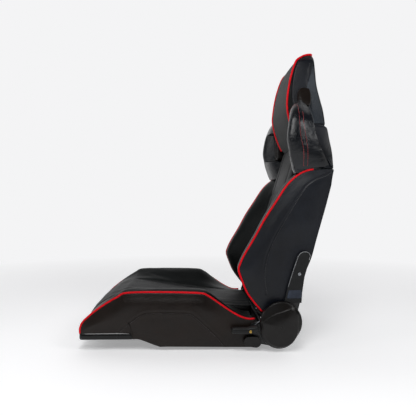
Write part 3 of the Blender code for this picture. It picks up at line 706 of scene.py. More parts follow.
# ---- Cushion middle ----
# A foam block under matt black leather, sewn in three lengthwise lobes with a cross seam at the
# nose. It sits lower than the bolsters, and its cover swells between the seams.

seat_leather = coated_leather("black_coated_leather_matt", "#0A0C0D", "#111315", 0.52, crease=0.2, shine=0.14)
PAD_HALF = 0.1512
LOBE_X = 0.088
SEAM_DEPTH = 0.0028


def middle_pad(name, front, body, slot, replaced, cross_seams, pressure, cap, material):
    """A pad as wide as PAD_HALF each way. Each row in front is a (Y, Z) point on its edge, the way out,
    the pad's thickness and how far its middle crowns."""
    across = 41
    xs = np.linspace(-PAD_HALF, PAD_HALF, across)
    rings = []
    for base, out, thick, crown in front:
        ring = []
        for x in xs:
            share = 1 - (x / PAD_HALF) ** 2
            rim = 0.006 * max(0.0, (abs(x) - PAD_HALF + 0.008) / 0.008) ** 2
            ring.append(np.array([x, *(base + out * (crown * share - rim))]))
        for depth in (0.35, 0.75):
            ring.append(np.array([PAD_HALF, *(base - out * thick * depth)]))
        for x in np.linspace(PAD_HALF, -PAD_HALF, 9):
            ring.append(np.array([x, *(base - out * thick)]))
        for depth in (0.75, 0.35):
            ring.append(np.array([-PAD_HALF, *(base - out * thick * depth)]))
        rings.append(ring)
    piece = closed_loft(name, rings, material, body, slot, replaced)
    count = len(rings[0])
    free = np.zeros(len(piece.data.vertices), bool)
    for row in range(1, len(rings) - 1):
        free[row * count + 1 : row * count + across - 1] = True
    lobes = [int(np.argmin(np.abs(xs - s * LOBE_X))) for s in (-1, 1)]
    for row in range(len(rings)):
        for lobe in lobes:
            free[row * count + lobe] = False
    for row in cross_seams:
        free[row * count : row * count + across] = False
    swell(piece, free, pressure, cap)
    points = read_points(piece.data)
    sewn = np.zeros(len(points), bool)
    for row in range(1, len(rings) - 1):
        for lobe in lobes:
            sewn[row * count + lobe] = True
    for row in cross_seams:
        sewn[row * count + 1 : row * count + across - 1] = True
    outs = np.array([[0, *out] for _, out, _, _ in front])
    for index in np.flatnonzero(sewn):
        points[index] -= outs[min(index // count, len(outs) - 1)] * SEAM_DEPTH
    write_points(piece.data, points)
    fine(piece)
    return piece


pad_rows = []
pad_line = smooth_line(CUSHION_MIDDLE, 8)
pad_ys = np.concatenate([[-0.394, -0.391, -0.386], np.linspace(-0.380, 0.138, 66)])
heights = np.interp(pad_ys, pad_line[:, 0], pad_line[:, 1])
for y, z in zip(pad_ys, heights):
    low = board_height(y)
    pad_rows.append((np.array([y, z]), np.array([0.0, 1.0]), z - low, 0.006))
nose_row = int(np.argmin(np.abs(pad_ys + 0.335)))
middle_pad(
    "cushion_middle_cover", pad_rows, "base", "seat_leather", ["cushion_pad"],
    [nose_row], 3.5, 0.007, seat_leather,
)


# ---- Rear flap ----
# A sheet of the black seat leather stapled under the rear of the cushion, closing the slit between it
# and the backrest; it sags a little between its staples.

FLAP_LINE = ((0.1250, 0.0690), (0.1400, 0.0705), (0.1500, 0.0712), (0.1620, 0.0690), (0.1700, 0.0660))
FLAP_HALF = 0.232
flap_line = resample(smooth_line(FLAP_LINE, 6), 24)
flap_points = []
for x in np.linspace(-FLAP_HALF, FLAP_HALF, 90):
    for share, (y, z) in zip(np.linspace(0, 1, 24), flap_line):
        flap_points.append((x, y, z - 0.0022 * share * math.sin(x * math.pi / 0.058) ** 2))
flap = mesh_piece(
    "rear_flap", flap_points, grid_faces(90, 24), seat_leather, "base", "seat_leather", closed=False
)
give_thickness(flap, 0.0016)


# ---- Front hem ----
# A band of glossy vinyl rolled round the front edge of the seat board and stapled beneath. It runs
# in one piece from one side of the cushion round the front to the other.

HEM_X = 0.2603
HEM_REAR_Y = -0.2400
HEM_FRONT_Y = -0.3980
HEM_CORNER = 0.010
HEM_SECTION = (
    (-0.0020, 0.0362), (0.0002, 0.0356), (0.0014, 0.0368), (0.0022, 0.0400), (0.0025, 0.0445),
    (0.0022, 0.0490), (0.0014, 0.0522), (0.0002, 0.0534), (-0.0020, 0.0528),
)

gloss_vinyl = coated_leather(
    "black_gloss_vinyl", "#050505", "#0B0B0C", 0.24, 1.0, 0.15, 0.25, coat=0.1, shine=0.3,
)
arc = [
    (HEM_X - HEM_CORNER + HEM_CORNER * math.cos(a), HEM_FRONT_Y + HEM_CORNER - HEM_CORNER * math.sin(a))
    for a in np.linspace(0, math.pi / 2, 9)
]
half_path = [(HEM_X, HEM_REAR_Y), *arc]
hem_path = np.array(half_path + [(-x, y) for x, y in reversed(half_path)])
dense = [hem_path[0]]
for a, b in zip(hem_path, hem_path[1:]):
    steps = max(int(np.linalg.norm(b - a) / 0.006), 1)
    dense += [a + (b - a) * (i + 1) / steps for i in range(steps)]
dense = np.array(dense)
run = directions(dense)
outward = np.column_stack([-run[:, 1], run[:, 0]])
hem_rings = []
for at, out in zip(dense, outward):
    crumple = 0.0006 * noise.noise(Vector((*at, 0.0)) / 0.018)
    hem_rings.append([(*(at + out * (shift + (crumple if shift > 0 else 0))), z) for shift, z in HEM_SECTION])
closed_loft(
    "front_hem_band", hem_rings, gloss_vinyl, "base", "gloss_leather",
    ["front_hem", "side_hem_left", "side_hem_right"],
)


# ---- Rails, cross tubes and seat pan ----
# Rolled steel rails joined by two tubes, with a pressed pan that holds the foam, all powder-coated
# satin black. The coat is a little orange-peeled and rounds every edge.


def dress(nodes, material, bevel=0.0005, segments=2):
    """Gives CAD nodes their finish, and edges rounded as on the real piece."""
    for name in nodes:
        node = frame["nodes"][name]
        node.data.materials.clear()
        node.data.materials.append(material)
        weld = node.modifiers.new("welded", "WELD")
        weld.merge_threshold = 0.00001
        if bevel:
            edge = node.modifiers.new("rounded_edge", "BEVEL")
            edge.width = bevel
            edge.segments = segments
            edge.limit_method = "ANGLE"
            edge.angle_limit = math.radians(38)
        node.modifiers.new("even_shading", "WEIGHTED_NORMAL")


def both(*names):
    """Names of the left and right CAD nodes of each piece."""
    return [f"{name}_{side}" for name in names for side, _ in SIDES]


powder_coat, shader, place = new_material("satin_black_powder_coat")
peel = add(powder_coat, "ShaderNodeTexNoise", Vector=place, Scale=700.0, Detail=2.0)
dust = add(powder_coat, "ShaderNodeTexNoise", Vector=place, Scale=14.0, Detail=5.0, Roughness=0.6)
drive(shader, "Base Color", ramp(powder_coat, dust.outputs["Fac"], ((0.35, "#0D0D0E"), (0.75, "#18191A"))))
emboss(powder_coat, shader, peel.outputs["Fac"], 0.2, 0.0004)
set_inputs(shader, Roughness=0.42)
dress([*both("mounting_rail"), "base_tube_front", "base_tube_rear", "seat_pan"], powder_coat, 0.0008)


# ---- Recliner steelwork ----
# Laser-cut brackets, toothed arms and pawls are powder-coated; pins and the wound spring are zinc-plated
# and passivated, so they are bluish grey with fine rolling lines. Each bracket's top edge is rubbed bright.


def plated_steel(name, dark, light, roughness):
    """Plated steel: metallic, with fine drawn lines across it and cloudy passivation."""
    material, shader, place = new_material(name)
    drawn = add(material, "ShaderNodeMapping", Vector=place, Scale=(400.0, 30.0, 1500.0))
    lines = add(material, "ShaderNodeTexNoise", Vector=drawn.outputs["Vector"], Scale=1.0, Detail=3.0)
    cloud = add(material, "ShaderNodeTexNoise", Vector=place, Scale=60.0, Detail=4.0, Roughness=0.6)
    drive(shader, "Base Color", ramp(material, cloud.outputs["Fac"], ((0.3, dark), (0.7, light))))
    polish = add(
        material, "ShaderNodeMapRange", Value=lines.outputs["Fac"], i3=roughness - 0.08, i4=roughness + 0.1,
    )
    drive(shader, "Roughness", polish.outputs["Result"])
    emboss(material, shader, lines.outputs["Fac"], 0.12, 0.0003)
    set_inputs(shader, Metallic=1.0)
    return material


zinc_steel = plated_steel("zinc_plated_steel", "#8E9298", "#B4B8BD", 0.38)
dress([*both("recliner_bracket", "back_arm")], powder_coat, 0.0006)
dress(both("lock_pawl"), powder_coat, 0.0004)
BRACKET_EDGE = ((0.1225, 0.0680), (0.1320, 0.0762), (0.1470, 0.0885), (0.1650, 0.0985), (0.1850, 0.1060))
for side, sign in SIDES:
    edge = resample(smooth_line(BRACKET_EDGE, 5), 30)
    bright = at_x(sign * 0.2662, edge)
    cord_piece(f"bracket_rubbed_edge_{side}", bright, 0.0011, zinc_steel, "base", "zinc_steel", sides=8)
dress(["release_rod", "lever_arm"], powder_coat, 0.0003)
dress([*both("pivot_bolt", "pawl_pin"), "clock_spring"], zinc_steel, 0.0003)


# ---- Recliner covers ----
# Injection-moulded covers snapped over the recliner: a leaf-shaped dome whose tip points at the
# lever, and a small lobed cap under it. Their faces are lightly spark-eroded and a little worn.

COVER_ROUNDS = (((0.2119, 0.0898), 0.0622), ((0.2050, 0.0665), 0.0555), ((0.154, 0.091), 0.007))
FACE_ROUNDS = (((0.2375, 0.1080), 0.0230), ((0.2085, 0.0690), 0.0515), ((0.158, 0.0895), 0.0045))
COVER_MIDDLE = (0.2085, 0.0785)
COVER_PROFILE = (
    (0.2756, 1.0, 0.0), (0.2850, 1.003, 0.0), (0.2885, 0.998, 0.0), (0.2905, 0.985, 0.05),
    (0.2935, 0.985, 0.55), (0.2958, 0.995, 0.95), (0.2966, 0.985, 1.0), (0.2972, 0.960, 1.0),
    (0.2992, 0.74, 1.0), (0.3010, 0.55, 1.0), (0.3022, 0.35, 1.0), (0.3028, 0.17, 1.0),
    (0.3030, 0.012, 1.0),
)


def moulded_plastic(name, dark, light, roughness, grain_mm, depth):
    """Moulded polypropylene with a spark-eroded grain, rubbed smoother in patches."""
    material, shader, place = new_material(name)
    grain = add(
        material, "ShaderNodeTexVoronoi", {"feature": "SMOOTH_F1"}, Vector=place, Scale=1000 / grain_mm,
    )
    rub = add(material, "ShaderNodeTexNoise", Vector=place, Scale=24.0, Detail=5.0, Roughness=0.65)
    drive(shader, "Base Color", ramp(material, rub.outputs["Fac"], ((0.35, dark), (0.7, light))))
    polish = add(
        material, "ShaderNodeMapRange", Value=rub.outputs["Fac"], i1=0.3, i2=0.7, i3=roughness + 0.06,
        i4=roughness - 0.06,
    )
    drive(shader, "Roughness", polish.outputs["Result"])
    emboss(material, shader, grain.outputs["Distance"], depth, 0.0004)
    set_inputs(shader, IOR=1.49, Specular_IOR_Level=0.3)
    return material


def ring_round(centre, x, reach, angles):
    """A ring round a (Y, Z) centre at one X, as far out as reach says at each angle."""
    return np.column_stack([
        np.full(len(angles), x), centre[0] + reach * np.cos(angles), centre[1] + reach * np.sin(angles),
    ])


def hull(circles, count=72):
    """The (Y, Z) outline of a belt round a few circles, as an array."""
    points = [
        (round(cy + r * math.cos(a), 7), round(cz + r * math.sin(a), 7))
        for (cy, cz), r in circles
        for a in np.linspace(0, 2 * math.pi, count, endpoint=False)
    ]
    points = sorted(set(points))
    chains = []
    for ordered in (points, points[::-1]):
        built = []
        for point in ordered:
            while len(built) > 1:
                a, b = np.subtract(built[-1], built[-2]), np.subtract(point, built[-2])
                if a[0] * b[1] - a[1] * b[0] > 0:
                    break
                built.pop()
            built.append(point)
        chains += built[:-1]
    return np.array(chains)


cover_plastic = moulded_plastic("black_moulded_plastic", "#090706", "#100D0B", 0.34, 0.7, 0.12)
angles = np.linspace(-math.pi, math.pi, 160, endpoint=False)
reaches = []
for rounds in (COVER_ROUNDS, FACE_ROUNDS):
    belt = hull(rounds)
    arms = resample(np.vstack([belt, belt[:1]]), 1600)[:-1] - COVER_MIDDLE
    reach = np.hypot(arms[:, 0], arms[:, 1])
    reaches.append(np.interp(angles, *np.array(sorted(zip(np.arctan2(arms[:, 1], arms[:, 0]), reach))).T))
rings = []
for x, scale, flat in smooth_line(COVER_PROFILE, 3):
    reach = scale * (reaches[0] * (1 - flat) + reaches[1] * flat)
    rings.append(ring_round(COVER_MIDDLE, x, reach, angles))
points = np.concatenate(rings)
faces = grid_faces(len(rings), len(angles), ring=True, flip=True)
faces.append(tuple(range(len(points) - len(angles), len(points))))
dome = mesh_piece(
    "recliner_dome_left", points, faces, cover_plastic, "base", "cover_plastic", ["recliner_cover_left"],
    closed=False,
)
dome.data.flip_normals()
dome_right = mirrored(dome, "recliner_dome_right", ["recliner_cover_right"])
for piece in (dome, dome_right):
    give_thickness(piece, 0.0020)
dress(both("bracket_cap"), cover_plastic, 0.0022, 3)


# ---- Recliner lever ----
# A moulded grip pressed over a plated plate and held by one brass-coloured screw. Lifting its front
# end turns the rod that draws the pawls back.

LEVER_SCREW = (0.117, 0.0655)
GRIP_X = 0.2862
GRIP_STATIONS = (
    (0.0600, 0.0032, 0.0682), (0.0608, 0.0062, 0.0681), (0.0640, 0.0088, 0.0678),
    (0.0800, 0.0096, 0.0674), (0.1000, 0.0096, 0.0670), (0.1120, 0.0097, 0.0672),
    (0.1200, 0.0101, 0.0682), (0.1330, 0.0100, 0.0700), (0.1400, 0.0088, 0.0712),
    (0.1428, 0.0060, 0.0716),
)
yellow_zinc = plated_steel("yellow_zinc_plated_steel", "#B08A3C", "#D9B765", 0.30)


def squared(value, power):
    """A sine or cosine pushed outwards, which makes a circle squarer."""
    return math.copysign(abs(value) ** power, value)


def screw_head(name, x, centre, radius, sign, material, body, slot):
    """A pan head with a hexagon socket, facing outwards at the given height."""
    sides = 24
    hexagon = [
        1 / math.cos((math.pi / 3) * ((k / sides * 6) % 1) - math.pi / 6) * math.cos(math.pi / 6)
        for k in range(sides)
    ]
    levels = (
        (0.0, 0.40, 1), (0.0011, 0.42, 1), (0.0012, 0.62, 0), (0.0011, 0.80, 0), (0.0007, 0.94, 0),
        (0.0, 1.0, 0), (-0.0012, 1.0, 0),
    )
    rings = []
    for height, share, six in levels:
        ring = []
        for k in range(sides):
            angle = 2 * math.pi * k / sides
            reach = radius * share * (hexagon[k] if six else 1)
            y, z = centre[0] + reach * math.cos(angle), centre[1] + reach * math.sin(angle)
            ring.append((sign * (x + height), y, z))
        rings.append(ring)
    return closed_loft(name, rings, material, body, slot)


grip_plastic = moulded_plastic("black_moulded_grip", "#090A0A", "#111212", 0.40, 0.9, 0.2)
grip_rings = []
for y, half, z in smooth_line(GRIP_STATIONS, 4):
    wide = min(0.0115, half * 1.25)
    ring = []
    for k in range(28):
        angle = 2 * math.pi * k / 28
        across, up = squared(math.cos(angle), 0.62), squared(math.sin(angle), 0.62)
        ring.append((GRIP_X + wide * across, y, z + half * up))
    grip_rings.append(ring)
closed_loft("lever_handle", grip_rings, grip_plastic, "recline_lever", "cover_plastic", ["lever_grip"])
dress(["lever_screw"], yellow_zinc, 0)
screw_head("lever_screw_head", 0.2982, LEVER_SCREW, 0.0042, 1, yellow_zinc, "recline_lever", "yellow_zinc")


# ---- Backrest arms ----
# The steel arm that climbs from the recliner to the backrest hides behind a grained plastic cover,
# held through the side panel by one bright screw.

ARM_SCREW = (0.2685, 0.234)
ARM_COVER = (
    (0.233, 0.1955), (0.248, 0.2435), (0.2635, 0.288), (0.270, 0.297), (0.280, 0.3025), (0.290, 0.3025),
    (0.299, 0.298), (0.303, 0.289), (0.300, 0.280), (0.284, 0.225), (0.277, 0.177), (0.275, 0.146),
    (0.222, 0.146), (0.233, 0.1955),
)
BAND = ((0.2300, 0.1600), (0.2355, 0.1850), (0.2770, 0.1850), (0.2752, 0.1600))
grained_plastic = moulded_plastic("black_grained_plastic", "#0A0B0C", "#121314", 0.44, 1.1, 0.35)
# Pale grey plastic for the rim on each arm cover's front edge: its pale colour is a painted edge highlight.
edge_highlight_plastic = moulded_plastic("pale_plastic_painted_edge_highlight", "#6E7072", "#8C8E90", 0.40, 1.1, 0.2)
tape = moulded_plastic("blue_grey_cloth_tape", "#232833", "#323A48", 0.60, 0.5, 0.6)
dress(both("arm_cover"), grained_plastic, 0.0011, 3)
dress(both("arm_screw"), zinc_steel, 0)
for side, sign in SIDES:
    # A raised rim along the cover's front edge, drawn in pale plastic: a painted highlight on the bevel.
    rim = inset(resample(ARM_COVER, 160), 0.0011)
    rim = at_x(sign * 0.2745, rim)
    cord_piece(
        f"arm_cover_rim_{side}", rim[:66], 0.0010, edge_highlight_plastic, "backrest", "cover_plastic", sides=8,
    )
    columns = 18
    low, top = resample(BAND[::3], columns), resample(BAND[1:3], columns)
    rows = [low + (top - low) * share for share in np.linspace(0, 1, 10)]
    points = np.concatenate([at_x(sign * 0.2757, row) for row in rows])
    faces = grid_faces(10, columns, flip=sign < 0)
    strip = mesh_piece(f"arm_tape_{side}", points, faces, tape, "backrest", "cover_plastic", closed=False)
    give_thickness(strip, 0.0008)
    screw_head(
        f"arm_screw_head_{side}", 0.2752, ARM_SCREW, 0.0048, sign, zinc_steel, "backrest", "zinc_steel",
    )


# ---- Backrest frame ----
# Bent steel tube with a cross tube, two sprung wires behind the pad and a hoop up into the head
# shell, powder-coated like the base; the wires are plain plated steel.

dress(["back_frame", "back_cross_tube", "head_hoop"], powder_coat, 0)
dress(["lumbar_wire_1", "lumbar_wire_2"], zinc_steel, 0)


# ---- Backrest middle ----
# The long foam pad between the bolsters, in matt black leather, sewn in three upright lobes with
# cross seams at the waist and between the shoulders.

BACK_MIDDLE = (
    (0.098, 0.176), (0.120, 0.172), (0.180, 0.174), (0.250, 0.186), (0.350, 0.212), (0.450, 0.242),
    (0.540, 0.270), (0.632, 0.297), (0.660, 0.304),
)
back_line = smooth_line(BACK_MIDDLE, 8)
back_zs = np.concatenate([[0.0985, 0.1010, 0.1060], np.linspace(0.112, 0.634, 78), [0.6390, 0.6415, 0.6430]])
back_ys = np.interp(back_zs, back_line[:, 0], back_line[:, 1])
back_ys[:3] += (0.010, 0.005, 0.0015)
back_ys[-3:] += (0.0010, 0.002, 0.004)
back_rows = []
for y, z in zip(back_ys, back_zs):
    back_rows.append((np.array([y, z]), np.array([-1.0, 0.0]), 0.036 if z < 0.55 else 0.024, 0.005))
seams = [int(np.argmin(np.abs(back_zs - z))) for z in (0.225, 0.480)]
middle_pad(
    "back_middle_cover", back_rows, "backrest", "seat_leather", ["back_pad"], seams, 3.5, 0.006,
    seat_leather,
)

# A foam roll under the backrest, centred on its pivots, keeps the slit over the cushion shut as it reclines.
ROLL_CENTRE = (0.212, 0.074)
ROLL_RADIUS = 0.0335
ROLL_HALF = 0.228
roll_rings = []
for x in np.linspace(-ROLL_HALF, ROLL_HALF, 60):
    turns = np.linspace(0, 2 * math.pi, 40, endpoint=False)
    swell_out = ROLL_RADIUS - 0.0012 * math.sin(x * math.pi / 0.057) ** 2
    roll_rings.append(ring_round(ROLL_CENTRE, x, swell_out, turns))
roll = closed_loft("backrest_roll", roll_rings, seat_leather, "backrest", "seat_leather")


# ---- Backrest bolsters ----
# Moulded foam wings down both sides of the backrest, deepest at the waist, in the same soft leather
# as the thigh bolsters. At the shoulders each one turns back into a shelf under the shoulder wing.

BACK_LINE = (
    (0.155, 0.120), (0.132, 0.147), (0.110, 0.178), (0.0935, 0.2175), (0.085, 0.245), (0.0905, 0.266),
    (0.104, 0.294), (0.135, 0.346), (0.165, 0.401), (0.199, 0.453), (0.227, 0.496), (0.248, 0.520),
    (0.273, 0.539), (0.300, 0.550), (0.340, 0.555), (0.376, 0.556),
)
BACK_INNER_LINE = (
    (0.179, 0.120), (0.177, 0.147), (0.178, 0.178), (0.184, 0.2175), (0.189, 0.245), (0.193, 0.266),
    (0.200, 0.294), (0.214, 0.346), (0.231, 0.401), (0.247, 0.453), (0.260, 0.493), (0.272, 0.515),
    (0.289, 0.530), (0.309, 0.540), (0.342, 0.548), (0.376, 0.552),
)
BACK_DEPTH = ((0.034, 0.0),) * 11 + (
    (0.030, -0.006), (0.022, -0.012), (0.012, -0.014), (0.004, -0.014), (0.0, -0.014),
)
ACROSS = (
    (BOLSTER_INNER_X, 1.0, 0.0), (0.1600, 0.95, 0.001), (0.1720, 0.76, 0.002), (0.1880, 0.44, 0.003),
    (0.2040, 0.16, 0.004), (0.2180, 0.03, 0.0048), (0.2300, 0.0, 0.0052), (0.2420, 0.0, 0.0042),
    (0.2500, 0.0, 0.0018), (WELT_X, 0.0, 0.0002),
)
STEPS = 6
edge_points = smooth_line(BACK_LINE, STEPS)
inner_points = smooth_line(BACK_INNER_LINE, STEPS)
depth_points = smooth_line(BACK_DEPTH, STEPS)
run = directions(edge_points)
forwards = np.column_stack([-run[:, 1], run[:, 0]])
front_profile = resample(smooth_line(ACROSS, 5), 24)
bolster_rings = []
for edge, inner, deep, out in zip(edge_points, inner_points, depth_points, forwards):
    ring = [np.array([x, *(edge + share * (inner - edge) + lift * out)]) for x, share, lift in front_profile]
    ring.append(np.array([0.2572, *(edge - out * 0.004)]))
    ring.append(np.array([BOLSTER_X, *(edge - out * 0.010)]))
    rear = inner + deep
    for share in (0.4, 0.75, 1.0):
        ring.append(np.array([BOLSTER_X, *(edge - out * 0.010 + (rear - edge + out * 0.010) * share)]))
    for x in (0.232, 0.205, 0.178):
        ring.append(np.array([x, *rear]))
    ring.append(np.array([BOLSTER_INNER_X, *rear]))
    ring.append(np.array([BOLSTER_INNER_X, *(inner + deep * 0.5)]))
    bolster_rings.append(ring)
left_bolster = closed_loft(
    "back_bolster_cover_left", bolster_rings, bolster_leather, "backrest", "side_leather",
    ["back_bolster_left"],
)
swell_front(left_bolster, bolster_rings, sewn_rows=3, sewn_column=22, pressure=3.0, cap=0.005)
right_bolster = mirrored(left_bolster, "back_bolster_cover_right", ["back_bolster_right"])


# ---- Backrest side panels ----
# Leather-covered boards that close the sides of the backrest, with a curved seam that follows the
# front edge, and red piping sewn along that edge up to the shoulder.

BACK_REAR = (
    (0.262, 0.122), (0.270, 0.143), (0.276, 0.170), (0.288, 0.230), (0.3085, 0.282), (0.3225, 0.333),
    (0.335, 0.377), (0.353, 0.440), (0.3695, 0.504),
)
ARM_LINE = ((0.215, 0.074), (0.250, 0.160), (0.285, 0.285))
BACK_SEAM = (
    (0.167, 0.172), (0.162, 0.205), (0.160, 0.230), (0.162, 0.258), (0.170, 0.292), (0.192, 0.344),
    (0.222, 0.398), (0.252, 0.447), (0.278, 0.487), (0.292, 0.505), (0.319, 0.523), (0.368, 0.545),
)
PIPING_END_Y = 0.306
# Black satin leather for the backrest sides, rear panel and head shell; its bluish tint is painted cool
# light.
back_leather = coated_leather("black_leather_satin_painted_cool_light", "#0C0E13", "#161A22", 0.36)
back_edge = smooth_line(BACK_LINE, 6)
back_seam = smooth_line(BACK_SEAM, 6)
for side, sign in SIDES:
    panel = side_sheet(
        f"back_side_cover_{side}", inset(back_edge, 0.0022), smooth_line(BACK_REAR, 4), back_seam, 210, 64,
        sign,
        back_leather, "backrest", [f"back_side_panel_{side}"], ARM_LINE, 5,
    )
    laid = onto(panel, inset(back_seam, 0.0040), sign)
    stitches(f"back_seam_thread_{side}", laid, black_thread, "backrest", "side_leather")
    route = resample(back_edge[: int(np.argmax(back_edge[:, 0] > PIPING_END_Y)) + 1], 220)
    cord_piece(
        f"back_welt_{side}", at_x(sign * PIPING_X, route), PIPING_RADIUS, red_piping,
        "backrest", "red_piping", [f"back_piping_{side}"], pinch=0.05,
    )


# ---- Backrest rear panel ----
# A padded board clipped to the back of the frame, its cover sewn with one seam that runs round
# about 20 mm inside the edge.

REAR_HALF = 0.2580
REAR_LOW, REAR_TOP = 0.143, 0.551
REAR_SEAM_X = 0.2380
SEAM_INSET = 0.020
REAR_PANEL = (
    (0.143, 0.270), (0.170, 0.277), (0.230, 0.289), (0.282, 0.3095), (0.333, 0.3235), (0.377, 0.336),
    (0.440, 0.354), (0.504, 0.3705), (0.551, 0.3795),
)
rear_line = smooth_line(REAR_PANEL, 8)
rear_zs = np.concatenate([[0.1430, 0.1440, 0.1465], np.linspace(0.150, 0.544, 98), [0.5475, 0.5500, 0.5510]])
rear_ys = np.interp(rear_zs, rear_line[:, 0], rear_line[:, 1])
rear_xs = np.concatenate(
    [[-REAR_HALF, -0.2573, -0.2550], np.linspace(-0.2515, 0.2515, 85), [0.2550, 0.2573, REAR_HALF]]
)
rear_rings = []
for z, y in zip(rear_zs, rear_ys):
    to_end = min(z - REAR_LOW, REAR_TOP - z)
    ring = []
    for x in rear_xs:
        to_edge = min(REAR_HALF - abs(x), to_end)
        beside = abs(REAR_SEAM_X - abs(x)) if to_end > SEAM_INSET else 1.0
        beyond = abs(to_end - SEAM_INSET) if abs(x) < REAR_SEAM_X else 1.0
        seam = min(beside, beyond)
        swelling = 0.0045 * (
            1 - math.exp(-((to_edge / 0.012) ** 2))
        ) - 0.0032 * math.exp(-((seam / 0.0024) ** 2))
        swelling += 0.0008 * noise.noise(Vector((x, 3.0, z)) / 0.06)
        ring.append((x, y - 0.002 + swelling, z))
    ring += [
        (REAR_HALF, y - 0.006, z), (REAR_HALF, y - 0.012, z), (0.120, y - 0.010, z), (-0.120, y - 0.010, z),
    ]
    ring += [(-REAR_HALF, y - 0.012, z), (-REAR_HALF, y - 0.006, z)]
    rear_rings.append(ring)
closed_loft("back_rear_cover", rear_rings, back_leather, "backrest", "side_leather", ["back_rear_panel"])


# ---- Shoulder wings ----
# Blades of glossy leather over stiff foam that curve forwards round the shoulders. The cover is
# gathered over the tight curve, so its outer face is crinkled, and two rows of red thread run down it.

WING_LEVELS = (
    (0.5400, 0.2570, 0.2600, 0.3740), (0.5560, 0.2572, 0.2530, 0.3710), (0.5620, 0.2605, 0.2515, 0.3690),
    (0.5900, 0.2660, 0.2430, 0.3560), (0.6130, 0.2690, 0.2385, 0.3440), (0.6500, 0.2700, 0.2330, 0.3290),
    (0.6950, 0.2640, 0.2385, 0.3190), (0.7210, 0.2520, 0.2450, 0.3155), (0.7450, 0.2320, 0.2530, 0.3100),
    (0.7620, 0.2130, 0.2640, 0.3060), (0.7780, 0.1950, 0.2800, 0.2980),
)
WING_INNER = (
    (0.5600, 0.1535), (0.6120, 0.1535), (0.6155, 0.2140), (0.7195, 0.2140), (0.7230, 0.1535),
    (0.7450, 0.1515), (0.7620, 0.1480), (0.7780, 0.1480),
)
GATHER_HEIGHT = 0.690  # where the cover is gathered most
WING_HOLLOW = ((0.56, 0.30), (0.64, 0.55), (0.72, 0.40), (0.778, 0.20))
WING_STITCHES = (
    ((0.2735, 0.759), (0.2709, 0.705), (0.2728, 0.656), (0.2815, 0.611), (0.2835, 0.562)),
    ((0.2847, 0.733), (0.2842, 0.688), (0.2911, 0.641), (0.2950, 0.611), (0.2956, 0.562)),
)


def smooth_ring(points, steps=4):
    """Points on the closed Catmull-Rom curve through a ring of points."""
    points = np.array(points, float)
    count = len(points)
    line = []
    for i in range(count):
        line += curve_span(points[i - 1], points[i], points[(i + 1) % count], points[(i + 2) % count], steps)
    return np.array(line)


# Glossy black leather; its bluish tint is a painted bluish sheen.
wing_leather = coated_leather(
    "black_gloss_leather_painted_blue_sheen", "#07090C", "#0E131A", 0.22, 1.3, 0.25, 0.45, coat=0.15, shine=0.4,
)
red_thread = thread_material("red_bonded_thread", "#C9121A")
wing_zs = np.unique(
    np.concatenate([np.linspace(0.5400, 0.7780, 72), [0.6125, 0.6140, 0.6155, 0.7195, 0.7212, 0.7230]])
)
wing_rings = []
for z in wing_zs:
    outer, front, rear = level(WING_LEVELS, z)
    inner = float(np.interp(z, *zip(*WING_INNER)))
    hollow = float(np.interp(z, *zip(*WING_HOLLOW)))
    span, depth = outer - inner, rear - front
    ring = smooth_ring((
        (outer - 0.017, rear), (outer - 0.0125, rear - 0.10 * depth), (outer - 0.0035, rear - 0.42 * depth),
        (outer, front + 0.36 * depth), (outer - 0.003, front + 0.008),
        (outer - min(0.012, 0.3 * span), front + 0.0015), (outer - min(0.022, 0.5 * span), front + 0.002),
        (inner + 0.35 * span, front + 0.30 * hollow * depth), (inner, front + hollow * depth),
        (inner, front + max(hollow, 0.45) * depth + 0.012), (inner + 0.45 * span, rear - 0.1 * depth),
    ))
    ring = np.column_stack([ring[:, 0], ring[:, 1], np.full(len(ring), z)])
    outside = np.clip((ring[:, 0] - outer + 0.020) / 0.016, 0, 1)
    gathered = np.clip((ring[:, 1] - front - 0.3 * depth) / 0.02, 0, 1)
    gathered *= math.exp(-(((z - GATHER_HEIGHT) / 0.045) ** 2))
    stretched = ring * (1.0, 1.0, 0.35)
    ring[:, 0] += outside * (
        0.0005 * ripple(ring, 0.045, 5) + gathered * 0.0013 * ripple(stretched, 0.009, 3)
    )
    wing_rings.append(ring)
top = wing_rings[-1]
for rise, share in ((0.0016, 0.84), (0.0026, 0.55)):
    wing_rings.append(top.mean(axis=0) + (top - top.mean(axis=0)) * share + (0, 0, rise))
left_wing = closed_loft(
    "shoulder_wing_cover_left", wing_rings, wing_leather, "backrest", "gloss_leather",
    ["shoulder_wing_left"],
)
fine(left_wing)
right_wing = mirrored(left_wing, "shoulder_wing_cover_right", ["shoulder_wing_right"])
for side, sign, wing in (("left", 1, left_wing), ("right", -1, right_wing)):
    for number, line in enumerate(WING_STITCHES, 1):
        laid = onto(wing, smooth_line(line, 10), sign)
        stitches(
            f"wing_thread_{side}_{number}", laid, red_thread, "backrest", "red_piping", pitch=0.0052,
            length=0.0038, radius=0.00055,
        )


# ---- Shoulder rear panels ----
# Small padded blocks behind the wings that fill the corner between the backrest and the head shell.
# Above each one a stiff gusset closes the wing's rear edge.

